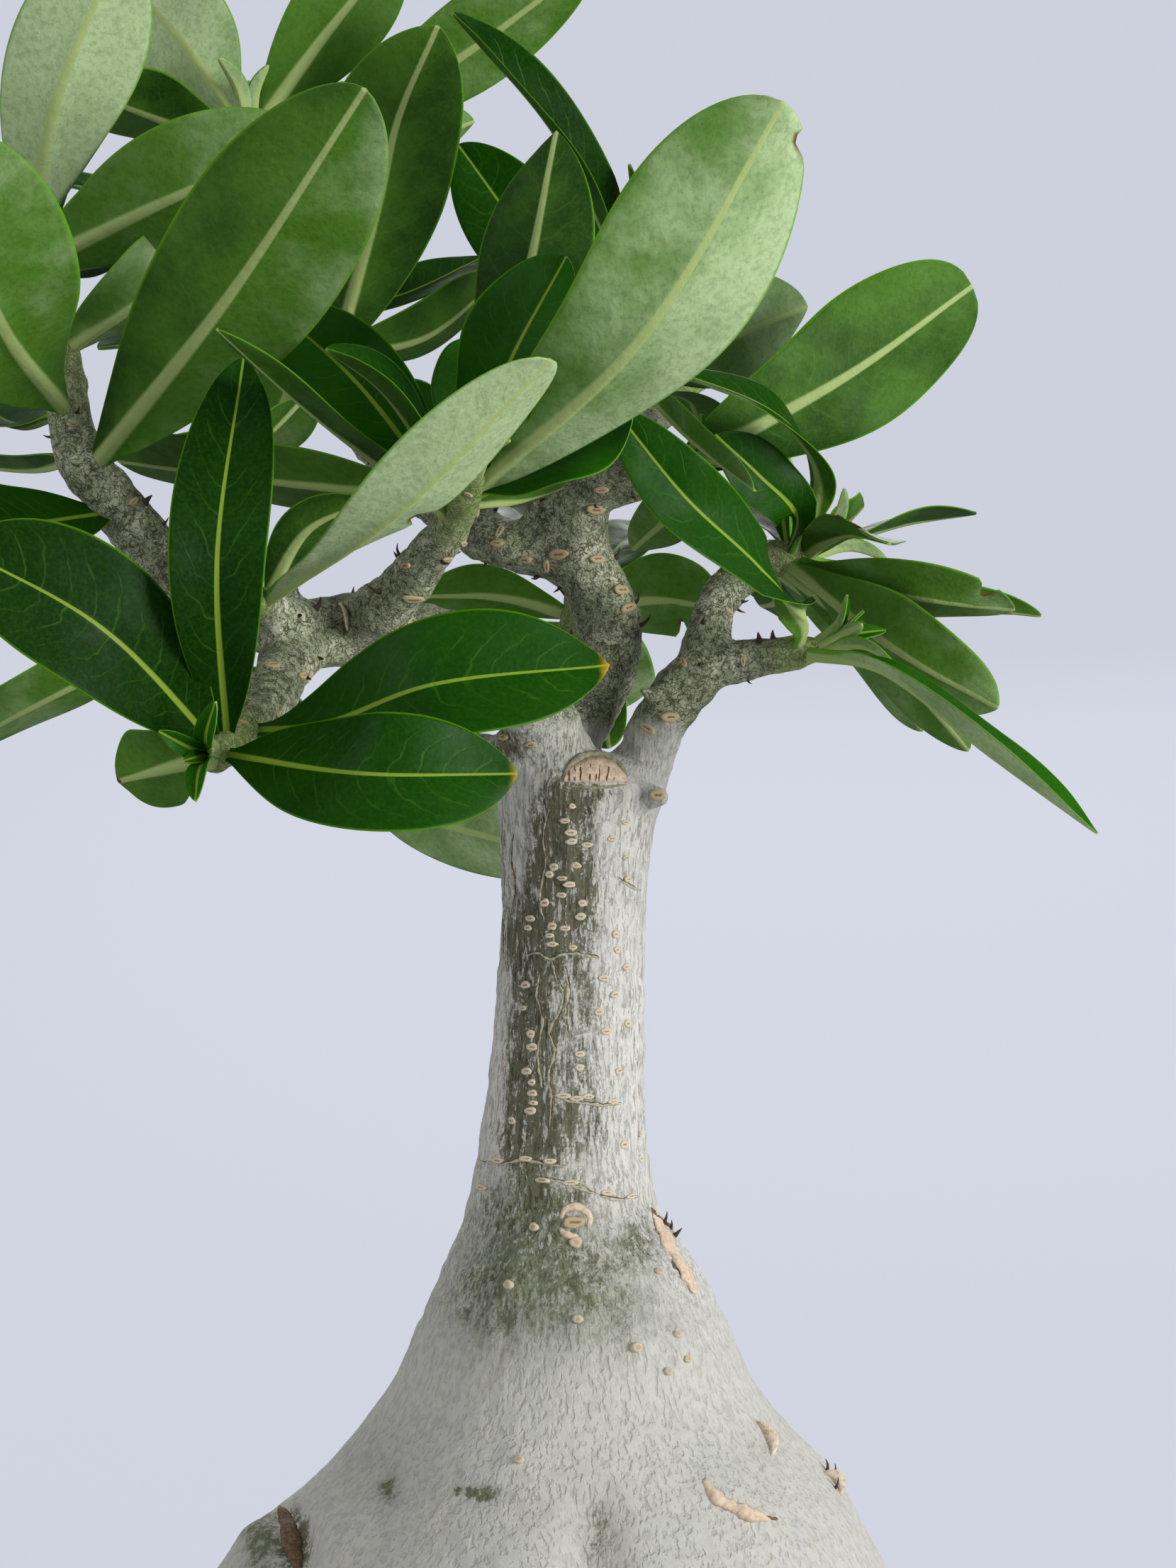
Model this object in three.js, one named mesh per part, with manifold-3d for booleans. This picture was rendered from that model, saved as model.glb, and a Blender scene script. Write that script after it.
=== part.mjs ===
// Potted desert rose: a swollen grey trunk with leafy shoots, standing in potting mix in a plain round pot.
// Millimetres, +Z up. The origin is the centre of the pot's flat underside.
import * as THREE from 'three';
import { mergeVertices } from 'three/addons/utils/BufferGeometryUtils.js';
import Module from 'manifold-3d';

// Driving dimensions
const POT_HEIGHT = 130;
const POT_FOOT_RADIUS = 104;
const POT_RIM_RADIUS = 140;
const POT_WALL = 7;
const POT_FLOOR = 10;
const FLOOR_FILLET = 6;
const POT_SEGMENTS = 36;
const DRAIN_HOLES = 4;
const DRAIN_RADIUS = 6;
const DRAIN_CIRCLE_RADIUS = 58;
const SOIL_TOP = 112;
const SOIL_ROUGHNESS = 1.1;
const CLEARANCE = 0.35;
const HOLE_CLEARANCE = 0.45;
const TRUNK_SIDES = 24;
const BRANCH_SIDES = 8;
const SHOOT_SIDES = 6;
const BRANCH_STEP = 14;
const BARK_UNEVENNESS = 0.035;
const BLADE_THICKNESS = 0.75;
const RIB_DEPTH = 2.1;
const PETIOLE_HALF_WIDTH = 2.1;
const TIP_HALF_WIDTH = 0.5;
const USUAL_WIDEST_AT = 0.63;
const SEED = 20611;

// The plant is described as it is seen from its front. A point [across, up, depth] lies on the line of sight
// that meets the trunk's plane at (across, up), at that depth behind the plane, or before it if negative.
const EYE = { x: 8.5, distance: 900, z: 400 };

function seen([across, up, depth]) {
  const spread = (EYE.distance + depth) / EYE.distance;
  return new THREE.Vector3(EYE.x + (across - EYE.x) * spread, depth, EYE.z + (up - EYE.z) * spread);
}

// Seeded random numbers between 0 and 1
function makeRandom(seed) {
  let state = seed;
  return () => {
    state = (state + 0x6d2b79f5) | 0;
    let mixed = Math.imul(state ^ (state >>> 15), 1 | state);
    mixed = (mixed + Math.imul(mixed ^ (mixed >>> 7), 61 | mixed)) ^ mixed;
    return ((mixed ^ (mixed >>> 14)) >>> 0) / 4294967296;
  };
}

const wasm = await Module();
wasm.setup();

// Closed solids

function solidOf(points, faces) {
  return new wasm.Manifold(new wasm.Mesh({
    numProp: 3,
    vertProperties: new Float32Array(points.flatMap((point) => point.toArray())),
    triVerts: new Uint32Array(faces.flat()),
  }));
}

function solidOfGeometry(geometry) {
  const bare = geometry.clone();
  bare.deleteAttribute('normal');
  bare.deleteAttribute('uv');
  const merged = mergeVertices(bare, 1e-4);
  const points = [];
  for (let i = 0; i < merged.attributes.position.count; i += 1) {
    points.push(new THREE.Vector3().fromBufferAttribute(merged.attributes.position, i));
  }
  const faces = [];
  for (let i = 0; i < merged.index.count; i += 3) {
    const [a, b, c] = [0, 1, 2].map((corner) => merged.index.getX(i + corner));
    if (a !== b && b !== c && c !== a) {
      faces.push([a, b, c]);
    }
  }
  return solidOf(points, faces);
}

function geometryOfSolid(solid) {
  const mesh = solid.getMesh();
  const geometry = new THREE.BufferGeometry();
  geometry.setAttribute('position', new THREE.BufferAttribute(mesh.vertProperties, mesh.numProp));
  geometry.setIndex(new THREE.BufferAttribute(mesh.triVerts, 1));
  geometry.computeVertexNormals();
  return geometry;
}

// A closed skin through rings of points that run anticlockwise as seen from the last ring's end
function loft(rings) {
  const sides = rings[0].length;
  const faces = [];
  for (let ring = 0; ring < rings.length - 1; ring += 1) {
    for (let side = 0; side < sides; side += 1) {
      const here = ring * sides + side;
      const next = ring * sides + ((side + 1) % sides);
      faces.push([here, next, next + sides], [here, next + sides, here + sides]);
    }
  }
  const last = (rings.length - 1) * sides;
  for (let side = 1; side < sides - 1; side += 1) {
    faces.push([0, side + 1, side], [last, last + side, last + side + 1]);
  }
  return solidOf(rings.flat(), faces);
}

// A thin solid between an upper and a lower grid of points, split alike on both faces
function plate(upper, lower) {
  const rows = upper.length;
  const columns = upper[0].length;
  const middle = (columns - 1) / 2;
  const under = rows * columns;
  const at = (row, column) => row * columns + column;
  const faces = [];
  for (let row = 0; row < rows - 1; row += 1) {
    for (let column = 0; column < columns - 1; column += 1) {
      const [a, b] = [at(row, column), at(row, column + 1)];
      const [d, c] = [at(row + 1, column), at(row + 1, column + 1)];
      const split = column < middle ? [[a, b, c], [a, c, d]] : [[a, b, d], [b, c, d]];
      split.forEach(([p, q, r]) => faces.push([p, q, r], [p + under, r + under, q + under]));
    }
  }
  const rim = [];
  for (let column = 0; column < columns - 1; column += 1) {
    rim.push([at(0, column), at(0, column + 1)], [at(rows - 1, column + 1), at(rows - 1, column)]);
  }
  for (let row = 0; row < rows - 1; row += 1) {
    rim.push([at(row, columns - 1), at(row + 1, columns - 1)], [at(row + 1, 0), at(row, 0)]);
  }
  rim.forEach(([p, q]) => faces.push([q, p, p + under], [q, p + under, q + under]));
  return solidOf([...upper.flat(), ...lower.flat()], faces);
}

// Caudex and trunk: each level gives the left edge, the right edge and the height
const TRUNK_LEVELS = [
  [-40, 40, 62], [-66, 66, 66], [-88, 87, 80], [-99, 98, 102], [-103, 102, 124], [-103, 101, 143], [-98, 98, 158],
  [-88, 92, 173], [-74, 84, 188], [-62, 71, 202], [-50.5, 58.5, 219], [-43, 51, 236], [-35, 41, 255],
  [-29, 31, 269], [-25.5, 27, 284], [-22, 26, 309], [-19, 25.8, 338], [-17.5, 26.2, 366], [-18, 28.5, 386],
  [-19, 30, 398], [-15, 24, 406], [-8, 16, 409],
];

// Swellings of the caudex: bearing in degrees, half width in degrees, height over the skin, top and fade
const CAUDEX_SWELLS = [
  { bearing: 194, width: 15, rise: 13, middle: 158, reach: 34 },
  { bearing: 238, width: 20, rise: 5, middle: 128, reach: 56 },
  { bearing: 262, width: 13, rise: 5, middle: 150, reach: 46 },
  { bearing: 312, width: 20, rise: 7, middle: 140, reach: 60 },
  { bearing: 4, width: 16, rise: 4, middle: 120, reach: 50 },
  { bearing: 52, width: 22, rise: 7, middle: 132, reach: 62 },
  { bearing: 108, width: 20, rise: 6, middle: 138, reach: 54 },
  { bearing: 150, width: 15, rise: 6, middle: 126, reach: 52 },
];

function swellAt(bearing, height) {
  let total = 0;
  CAUDEX_SWELLS.forEach((swell) => {
    const turn = ((bearing - swell.bearing + 540) % 360) - 180;
    const sideways = Math.exp(-((turn / swell.width) ** 2));
    const upward = Math.exp(-(((height - swell.middle) / swell.reach) ** 2));
    total += swell.rise * sideways * upward;
  });
  return total;
}

function trunkSolid(grow, drop) {
  const rings = TRUNK_LEVELS.map(([left, right, height]) => {
    const radius = (right - left) / 2 + grow;
    const ring = [];
    for (let side = 0; side < TRUNK_SIDES; side += 1) {
      const bearing = (360 * side) / TRUNK_SIDES;
      const angle = THREE.MathUtils.degToRad(bearing);
      const reach = radius + swellAt(bearing, height);
      ring.push(new THREE.Vector3((left + right) / 2 + reach * Math.cos(angle), reach * Math.sin(angle), height - drop));
    }
    return ring;
  });
  return loft(rings);
}

// Branches: points [across, up, depth, radius] along each, and for a leafy one the share of its length
// from which it is a green shoot
const LIMBS = {
  limb_left: [[1, 394, 2, 14], [-3, 411, -8, 11.5], [-9, 426, -18, 11], [-24, 439, -28, 10.5], [-43, 444, -36, 10.5],
    [-62, 447, -42, 10.5], [-78, 445, -48, 10]],
  limb_centre: [[3, 394, 4, 14], [1, 410, 8, 10.8], [7, 422, 12, 10.6], [13.5, 436, 14, 10.2], [15, 449, 13, 10],
    [11, 460, 12, 9.8], [6, 471, 10, 9.6], [6, 484, 8, 9.2], [10, 497, 6, 8]],
  limb_right: [[18, 390, 0, 11], [25, 405, -2, 9], [28, 414, -5, 8.4], [34, 425, -8, 8.4], [42, 434, -10, 8.2]],
  front_knob: [[22, 397, -10, 5], [33, 396, -18, 3.6]],
  cut_stub: [[-68, 444, -46, 6], [-64, 454, -48, 4.6]],
  old_stub: [[-82, 444, -50, 5], [-82, 458, -54, 3.8]],
  upper_stub: [[-9, 470, 14, 5], [-6, 487, 10, 4.2]],
  pruned_lip: [[34, 423, -10, 6], [26, 428, -20, 4.2]],
  bark_collar: [[-6, 400, -8, 9], [-16, 414, -12, 7]],
};

const SHOOTS = {
  left_low: { leafy: 0.62, path: [[-78, 445, -48, 9], [-84, 434, -70, 8], [-90, 423, -90, 6.2], [-98, 414, -108, 5.4],
    [-105, 408, -124, 4.8]] },
  left_inner: { leafy: 0.38, path: [[-77, 446, -50, 8], [-86, 451, -64, 6.2], [-92, 455, -78, 5.2], [-97, 458, -90, 4.4]] },
  front_left: { leafy: 0.72, path: [[-62, 448, -44, 9], [-53, 454, -56, 7.8], [-42, 466, -70, 6.6], [-33, 479, -82, 5.6],
    [-29, 487, -92, 5], [-26, 494, -101, 4]] },
  upper_left: { leafy: 0.42, path: [[-78, 446, -50, 9], [-99, 452, -54, 8.5], [-116, 464, -56, 8], [-129, 478, -58, 7.8],
    [-138, 489, -60, 7.5], [-146, 500, -62, 7.2], [-149, 513, -62, 6.4], [-150, 527, -62, 5.6], [-155, 541, -62, 5.2],
    [-160, 552, -64, 4.6], [-162, 560, -66, 4]] },
  high_left: { leafy: 0.47, path: [[6, 468, 10, 8.5], [-10, 471, 14, 8], [-22, 475, 18, 8], [-31, 481, 22, 7.8],
    [-43, 489, 26, 7], [-58, 505, 30, 6.6], [-72, 524, 34, 6.3], [-84, 548, 38, 6], [-91, 573, 42, 5.4],
    [-94, 600, 44, 4.2]] },
  rear_left: { leafy: 0.7, path: [[-42, 488, 26, 6.6], [-52, 503, 52, 6], [-64, 521, 84, 5.2], [-72, 535, 110, 4.8],
    [-77, 545, 128, 4]] },
  centre: { leafy: 0.45, path: [[10, 496, 6, 7.6], [15, 506, 8, 6.4], [20, 514, 10, 5.4], [24, 522, 10, 4.8],
    [27, 530, 10, 4.4], [28, 538, 10, 3.8]] },
  centre_stub: { leafy: 0.72, path: [[10, 489, 4, 7], [22, 492, 0, 6.6], [29, 494, -4, 5.6], [35, 495, -8, 4.6]] },
  right_high: { leafy: 0.66, path: [[42, 434, -10, 7.8], [45, 445, -6, 7], [48, 455, 0, 6.6], [55, 463, 6, 6.2],
    [65, 468, 12, 5.8], [71, 469, 15, 5.2], [76, 470, 18, 4.4]] },
  right_low: { leafy: 0.62, path: [[38, 431, -10, 7], [49, 436, -12, 6.4], [60, 438, -14, 5.8], [71, 440, -17, 5.4],
    [78, 441, -20, 4.4]] },
  back: { leafy: 0.7, path: [[3, 396, 8, 11], [0, 418, 48, 8.4], [3, 438, 78, 7], [5, 449, 94, 5.6], [6, 459, 108, 4.6]] },
  back_left: { leafy: 0.72, path: [[-1, 396, 4, 11], [-19, 407, 34, 8.4], [-41, 407, 58, 6.8], [-62, 405, 74, 5.6],
    [-78, 403, 86, 4.6]] },
  back_right: { leafy: 0.74, path: [[11, 492, 8, 7.4], [19, 503, 44, 6.6], [29, 511, 84, 5.6], [36, 517, 110, 5],
    [40, 521, 124, 4.2]] },
};

// A leaf: where it grows on its branch, the points that its midrib passes up to the tip, its width, the way
// its upper side looks, and what is special about it
function leaf(at, midrib, width, facing, special = {}) {
  return { at, midrib: midrib.map(seen), width, facing: new THREE.Vector3(...facing), ...special };
}

// A plain arching leaf on the far side of the plant, told by how far its tip reaches from its branch
function spreading(at, reach, width) {
  return { at, reach: new THREE.Vector3(...reach), width, facing: new THREE.Vector3(0, -0.15, 1) };
}

const LEAVES = {
  front_left: [
    leaf(0.86, [[25, 536, -138], [68, 607, -158]], 49, [-0.35, 0.9, 0.25], { fold: 14, widest: 0.67, blunt: 0.5 }),
    leaf(0.92, [[-16, 526, -112], [2, 560, -122]], 31, [-0.15, -0.9, 0.35]),
    leaf(0.96, [[-11, 548, -98], [-1, 598, -84]], 32, [0.25, 0.9, 0.2], { blunt: 0.85 }),
    leaf(0.76, [[-61, 521, -92], [-85, 543, -84]], 28, [-0.2, -0.8, 0.55], { twist: -25 }),
    leaf(0.82, [[-53, 519, -112], [-71, 532, -122]], 20, [0.55, -0.35, 0.75], { fold: 30 }),
    leaf(0.74, [[-75, 513, -132], [-104, 538, -160]], 24, [0.62, 0.3, 0.7]),
    leaf(0.85, [[-84, 492, -68], [-134, 498, -36]], 30, [0, 0.6, 0.8]),
    leaf(0.88, [[0, 500, -98], [22, 511, -100]], 30, [0.1, -0.75, 0.65]),
    leaf(0.84, [[-15, 486, -76], [1, 490, -60]], 24, [0, 0.5, 0.85]),
    spreading(0.9, [6, 58, 50], 30),
    spreading(0.8, [-34, 52, 44], 30),
  ],
  left_inner: [
    leaf(0.7, [[-49, 483, -134], [-3, 529, -160]], 31, [-0.5, 0.55, 0.6], { widest: 0.72, blunt: 0.45 }),
    leaf(0.6, [[-77, 477, -88], [-57, 486, -92]], 16, [-0.3, 0.6, 0.7]),
    leaf(0.8, [[-140, 434, -84], [-190, 408, -76]], 26, [-0.3, 0.5, 0.8]),
  ],
  left_low: [
    leaf(0.88, [[-104, 468, -146], [-96, 529, -122]], 26, [0.1, -1, 0], { widest: 0.58 }),
    leaf(0.93, [[-140, 448, -150], [-183, 472, -162]], 38, [0.15, -0.95, 0.3]),
    leaf(0.97, [[-119, 405, -116], [-134, 401, -104]], 25, [0.15, 0.9, 0.4]),
    leaf(0.74, [[-72, 418, -120], [-39, 430, -136], [15, 436, -126]], 36, [0, -0.93, 0.35], { blunt: 0.8 }),
    leaf(0.96, [[-58, 403, -162], [-13, 403, -150]], 32, [0, -0.95, 0.3], { blunt: 0.7 }),
  ],
  upper_left: [
    leaf(0.55, [[-99, 550, -118], [-59, 611, -158]], 47, [-0.2, 0.95, 0.1], { blunt: 0.6 }),
    leaf(0.67, [[-171, 543, -122], [-187, 600, -164]], 50, [-0.1, 1, 0.05]),
    leaf(0.45, [[-166, 479, -84], [-204, 486, -104]], 36, [0, -0.75, 0.65]),
    leaf(0.59, [[-159, 496, -36], [-196, 499, 0]], 28, [0, 0.2, 1]),
    leaf(0.69, [[-164, 509, -30], [-183, 520, 14]], 28, [0, -0.5, 0.8]),
    leaf(0.8, [[-130, 545, -74], [-101, 566, -64]], 30, [-0.3, 0.6, 0.7]),
    leaf(0.98, [[-115, 579, -92], [-75, 596, -98]], 38, [-0.3, 0.85, 0.3]),
    leaf(0.96, [[-134, 559, -62], [-108, 554, -52]], 24, [0.3, 0.3, 0.85]),
    leaf(0.98, [[-146, 570, -48], [-131, 581, -24]], 26, [-0.4, 0.5, 0.7]),
    leaf(0.985, [[-153, 606, -98], [-133, 655, -112]], 37, [-0.15, 0.95, 0], { widest: 0.68 }),
    spreading(0.97, [-58, 30, 52], 36),
    spreading(0.93, [-66, -26, 30], 36),
    spreading(0.85, [-52, 58, 16], 34),
    spreading(0.97, [-20, 66, 48], 34),
  ],
  high_left: [
    leaf(0.54, [[-55, 577, -4], [-49, 602, -18], [-37, 630, -34]], 42, [-0.15, 1, 0.05]),
    leaf(0.97, [[-112, 622, 46], [-138, 651, 62]], 43, [0.3, 0.9, 0.3], { widest: 0.66 }),
    leaf(0.95, [[-119, 601, 30], [-149, 612, 12]], 32, [0.2, 0.6, 0.7]),
    leaf(0.98, [[-73, 625, 48], [-47, 657, 52]], 32, [-0.3, 0.9, 0.2]),
    leaf(0.93, [[-39, 615, 30], [11, 651, 10]], 31, [-0.3, 0.75, 0.4], { widest: 0.67 }),
    leaf(0.56, [[-95, 503, 14], [-130, 498, -8]], 28, [0.1, 0.4, 0.9]),
    leaf(0.86, [[-123, 577, 22], [-155, 583, 8]], 28, [0.1, -0.4, 0.9]),
    leaf(0.68, [[-112, 537, 6], [-140, 532, -22]], 24, [0.1, -0.4, 0.9]),
    leaf(0.6, [[-43, 535, 40], [-18, 554, 52]], 28, [-0.1, 0.5, 0.8]),
    leaf(0.64, [[-83, 517, 52], [-97, 500, 64]], 26, [0.3, 0.7, 0.6]),
    leaf(0.66, [[-49, 548, 48], [-23, 560, 66]], 26, [-0.1, -0.5, 0.8]),
    leaf(0.9, [[-56, 590, 76], [-26, 601, 96]], 28, [-0.1, 0.7, 0.7]),
    spreading(0.97, [14, 72, 46], 36),
    spreading(0.95, [-44, 62, 16], 34),
    spreading(0.86, [34, 72, 8], 34),
  ],
  rear_left: [
    spreading(0.97, [-8, 76, 32], 34),
    spreading(0.94, [-56, 54, 22], 34),
    spreading(0.94, [46, 58, 20], 34),
    spreading(0.88, [-38, 50, -22], 32),
    spreading(0.98, [-4, 42, 66], 34),
  ],
  centre: [
    leaf(0.88, [[1, 594, -36], [-33, 634, -58]], 20, [0.6, -0.6, 0.3], { fold: 45 }),
    leaf(0.8, [[-4, 558, 24], [-31, 594, 24]], 32, [-0.3, -0.85, 0.35]),
    leaf(0.97, [[25, 565, -16], [21, 588, -30]], 22, [0.9, 0.3, 0.1]),
    leaf(0.94, [[19, 554, 34], [15, 575, 44]], 26, [-0.3, -0.8, 0.4]),
    leaf(0.72, [[50, 535, 34], [75, 545, 50]], 36, [-0.1, 0.85, 0.45]),
    leaf(0.66, [[40, 505, -36], [59, 489, -64]], 18, [0.5, 0.25, 0.75], { fold: 28 }),
    leaf(0.6, [[40, 516, 46], [43, 503, 62]], 22, [0.5, 0.6, 0.5]),
    spreading(0.96, [6, 78, 42], 34),
    spreading(0.9, [-36, 70, 24], 34),
  ],
  centre_stub: [
    leaf(0.94, [[87, 524, 8], [125, 551, 20]], 43, [-0.2, 0.9, 0.3], { widest: 0.68, blunt: 0.42 }),
    leaf(0.95, [[35, 484, 34], [22, 471, 70]], 19, [0.2, 0.8, 0.5]),
    leaf(0.9, [[25, 502, -22], [18, 509, -26]], 12, [0.5, -0.5, 0.6]),
  ],
  right_high: [
    leaf(0.9, [[79, 490, 0], [74, 504, -14], [61, 515, -26], [32, 526, -34]], 19, [0.6, 0.3, 0.8], { twist: -55 }),
    leaf(0.86, [[72, 481, -2], [61, 493, -12], [47, 506, -22]], 20, [-0.4, -0.75, 0.45]),
    leaf(0.88, [[64, 496, 24], [52, 514, 34]], 16, [-0.6, -0.2, 0.7]),
    leaf(0.95, [[87, 476, -8], [100, 473, -30]], 26, [-0.3, 0.8, 0.5]),
    leaf(0.94, [[103, 479, 44], [126, 482, 60]], 22, [0, 0.1, 1]),
    leaf(0.97, [[86, 479, 40], [92, 484, 56]], 18, [-0.4, 0.6, 0.6]),
    leaf(0.9, [[71, 492, 42], [68, 503, 60]], 20, [-0.3, 0.8, 0.4]),
    leaf(0.9, [[108, 457, -14], [138, 453, -8]], 28, [0, 0.5, 0.85]),
    leaf(0.93, [[114, 456, 40], [146, 451, 50]], 22, [0, 0.3, 0.95]),
    leaf(0.78, [[66, 456, 44], [61, 454, 66]], 22, [0.4, 0.6, 0.6]),
    leaf(0.86, [[86, 455, 46], [98, 450, 68]], 26, [0, 0.6, 0.8]),
    leaf(0.84, [[102, 441, -16], [133, 423, -20]], 31, [0.2, 0.75, 0.6]),
    leaf(0.8, [[98, 440, 18], [124, 410, 24]], 20, [0.2, 0.8, 0.5]),
    leaf(0.76, [[94, 441, 44], [110, 416, 54]], 20, [0.3, 0.8, 0.4]),
    leaf(0.74, [[56, 474, 46], [49, 484, 72]], 22, [-0.1, 0.8, 0.5]),
    spreading(0.9, [-8, 78, 24], 28),
    spreading(0.86, [2, 80, -12], 28),
  ],
  right_low: [
    leaf(0.8, [[73, 450, -34], [60, 466, -58], [38, 487, -78], [17, 513, -86]], 24, [-0.35, -0.75, 0.5], { fold: 12 }),
    leaf(0.88, [[98, 435, -46], [131, 409, -64], [163, 385, -70]], 22, [0.5, -0.25, 0.8], { fold: 28, blunt: 1 }),
  ],
  back: [
    leaf(0.88, [[-19, 457, 98], [-44, 457, 84]], 22, [0, 0.75, 0.6]),
    leaf(0.9, [[29, 456, 98], [50, 453, 84]], 34, [0, 0.85, 0.5]),
    leaf(0.8, [[12, 429, 112], [15, 411, 92]], 16, [0.3, 0.8, -0.3]),
    spreading(0.9, [0, 78, 18], 32),
    spreading(0.95, [-28, 70, 40], 32),
    spreading(0.95, [30, 70, 32], 32),
    spreading(0.85, [18, 70, -26], 30),
    spreading(0.85, [-30, 66, -14], 30),
  ],
  back_left: [
    leaf(0.88, [[-43, 391, 82], [3, 378, 50]], 40, [-0.1, 0.85, 0.45]),
    spreading(0.9, [-20, 74, 20], 32),
    spreading(0.95, [16, 76, 4], 32),
    spreading(0.82, [40, 70, 26], 32),
    spreading(0.96, [-44, 48, 36], 32),
  ],
  back_right: [
    spreading(0.97, [4, 78, 30], 34),
    spreading(0.95, [44, 66, 12], 34),
    spreading(0.92, [-40, 70, 18], 34),
    spreading(0.97, [14, 52, 56], 34),
    spreading(0.95, [-22, 50, 56], 32),
  ],
};

// The line of a branch, its length and its radius along it
function branchLine(path) {
  const curve = new THREE.CatmullRomCurve3(path.map(seen), false, 'centripetal');
  const radii = path.map((point) => point[3]);
  const radiusAt = (share) => {
    const place = curve.getUtoTmapping(share) * (radii.length - 1);
    const low = Math.min(Math.floor(place), radii.length - 2);
    return THREE.MathUtils.lerp(radii[low], radii[low + 1], place - low);
  };
  return { curve, length: curve.getLength(), radiusAt };
}

// Rings across a branch from one share of its length to another
function branchRings(line, from, to, sides, random) {
  const steps = Math.max(2, Math.round(((to - from) * line.length) / BRANCH_STEP));
  const rings = [];
  let across = new THREE.Vector3(0, 1, 0);
  for (let step = 0; step <= steps; step += 1) {
    const share = THREE.MathUtils.lerp(from, to, step / steps);
    const centre = line.curve.getPointAt(share);
    const along = line.curve.getTangentAt(share);
    across = across.clone().addScaledVector(along, -across.dot(along)).normalize();
    const beside = new THREE.Vector3().crossVectors(along, across);
    const ring = [];
    for (let side = 0; side < sides; side += 1) {
      const angle = (2 * Math.PI * side) / sides;
      const reach = line.radiusAt(share) * (1 + BARK_UNEVENNESS * (2 * random() - 1));
      ring.push(centre.clone()
        .addScaledVector(across, reach * Math.cos(angle))
        .addScaledVector(beside, reach * Math.sin(angle)));
    }
    rings.push(ring);
  }
  return rings;
}

// A shoot ends in a blunt bud
function budRing(rings) {
  const end = rings[rings.length - 1];
  const before = rings[rings.length - 2];
  const middle = (ring) => ring.reduce((sum, point) => sum.add(point), new THREE.Vector3()).divideScalar(ring.length);
  const centre = middle(end);
  const onward = centre.clone().sub(middle(before)).normalize();
  return end.map((point) => point.clone().lerp(centre, 0.5).addScaledVector(onward, 3));
}

// Half the width of a leaf at a share of its length, as a share of its full width
function outline(share, widest, blunt) {
  const rise = (blunt * widest) / (1 - widest);
  const shape = (at) => at ** rise * (1 - at) ** blunt;
  return (0.5 * shape(share)) / shape(widest);
}

const LEAF_STATIONS = [0, 0.12, 0.28, 0.46, 0.64, 0.8, 0.92, 1];
const SHORT_LEAF_STATIONS = [0, 0.15, 0.38, 0.63, 0.86, 1];
const SHORT_LEAF = 82;
const SPREADING_LIFT = 6;

// The upper and the lower side of a leaf that grows from a root point inside its branch
function bladeSides(root, one, random) {
  const draw = { blunt: 0.55 + 0.25 * random(), fold: 8 + 6 * random(), waves: 1.2 + random(),
    phase: 2 * Math.PI * random(), waveHeight: one.width * (0.02 + 0.03 * random()) };
  const { midrib, reach, width, facing } = one;
  const { fold = draw.fold, twist = 0, widest = USUAL_WIDEST_AT, blunt = draw.blunt } = one;
  const passed = midrib ?? [
    root.clone().addScaledVector(reach, 0.5).add(new THREE.Vector3(0, 0, SPREADING_LIFT)),
    root.clone().add(reach),
  ];
  const spine = new THREE.CatmullRomCurve3([root, ...passed], false, 'centripetal');
  const opening = THREE.MathUtils.degToRad(fold);
  const upper = [];
  const lower = [];
  const stations = midrib && spine.getLength() > SHORT_LEAF ? LEAF_STATIONS : SHORT_LEAF_STATIONS;
  stations.forEach((share) => {
    const centre = spine.getPointAt(share);
    const along = spine.getTangentAt(share);
    const up = facing.clone().addScaledVector(along, -facing.dot(along)).normalize();
    up.applyAxisAngle(along, THREE.MathUtils.degToRad(twist * share));
    const side = new THREE.Vector3().crossVectors(along, up);
    const half = Math.max(width * outline(share, widest, blunt), share < 0.5 ? PETIOLE_HALF_WIDTH : TIP_HALF_WIDTH);
    const flare = Math.min(1, half / 6);
    const rib = RIB_DEPTH * (1 - share) ** 0.8;
    const across = [-1, 0, 1].map((edge) => {
      const wave = flare * draw.waveHeight * Math.sin(2 * Math.PI * draw.waves * share + draw.phase + edge);
      return centre.clone()
        .addScaledVector(side, edge * half * Math.cos(opening))
        .addScaledVector(up, edge === 0 ? 0 : half * Math.sin(opening) + wave);
    });
    upper.push(across.map((point) => point.clone().addScaledVector(up, BLADE_THICKNESS / 2)));
    lower.push(across.map((point, column) => point.clone()
      .addScaledVector(up, -BLADE_THICKNESS / 2 - (column === 1 ? rib : 0.4 * rib * (1 - flare)))));
  });
  return [upper, lower];
}

// The pot

function potProfile() {
  const outer = [[0, 0], [POT_FOOT_RADIUS - 4, 0], [POT_FOOT_RADIUS - 1, 1.2], [POT_FOOT_RADIUS, 4]];
  const wallTop = POT_HEIGHT - 12;
  const wallSteps = 2;
  for (let step = 1; step <= wallSteps; step += 1) {
    outer.push([potWallRadius((wallTop * step) / wallSteps), (wallTop * step) / wallSteps]);
  }
  const rim = POT_RIM_RADIUS;
  outer.push([rim, POT_HEIGHT - 10], [rim, POT_HEIGHT - 2.5], [rim - 2.5, POT_HEIGHT], [rim - 7, POT_HEIGHT]);
  outer.push([rim - 9.5, POT_HEIGHT - 3]);
  for (let step = wallSteps; step >= 1; step -= 1) {
    const height = POT_FLOOR + ((wallTop - POT_FLOOR) * step) / wallSteps;
    outer.push([potInnerRadius(height), height]);
  }
  outer.push([potInnerRadius(POT_FLOOR + FLOOR_FILLET), POT_FLOOR + FLOOR_FILLET]);
  outer.push([potInnerRadius(POT_FLOOR) - 3, POT_FLOOR], [0, POT_FLOOR]);
  return outer.map(([radius, height]) => new THREE.Vector2(radius, height));
}

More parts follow.
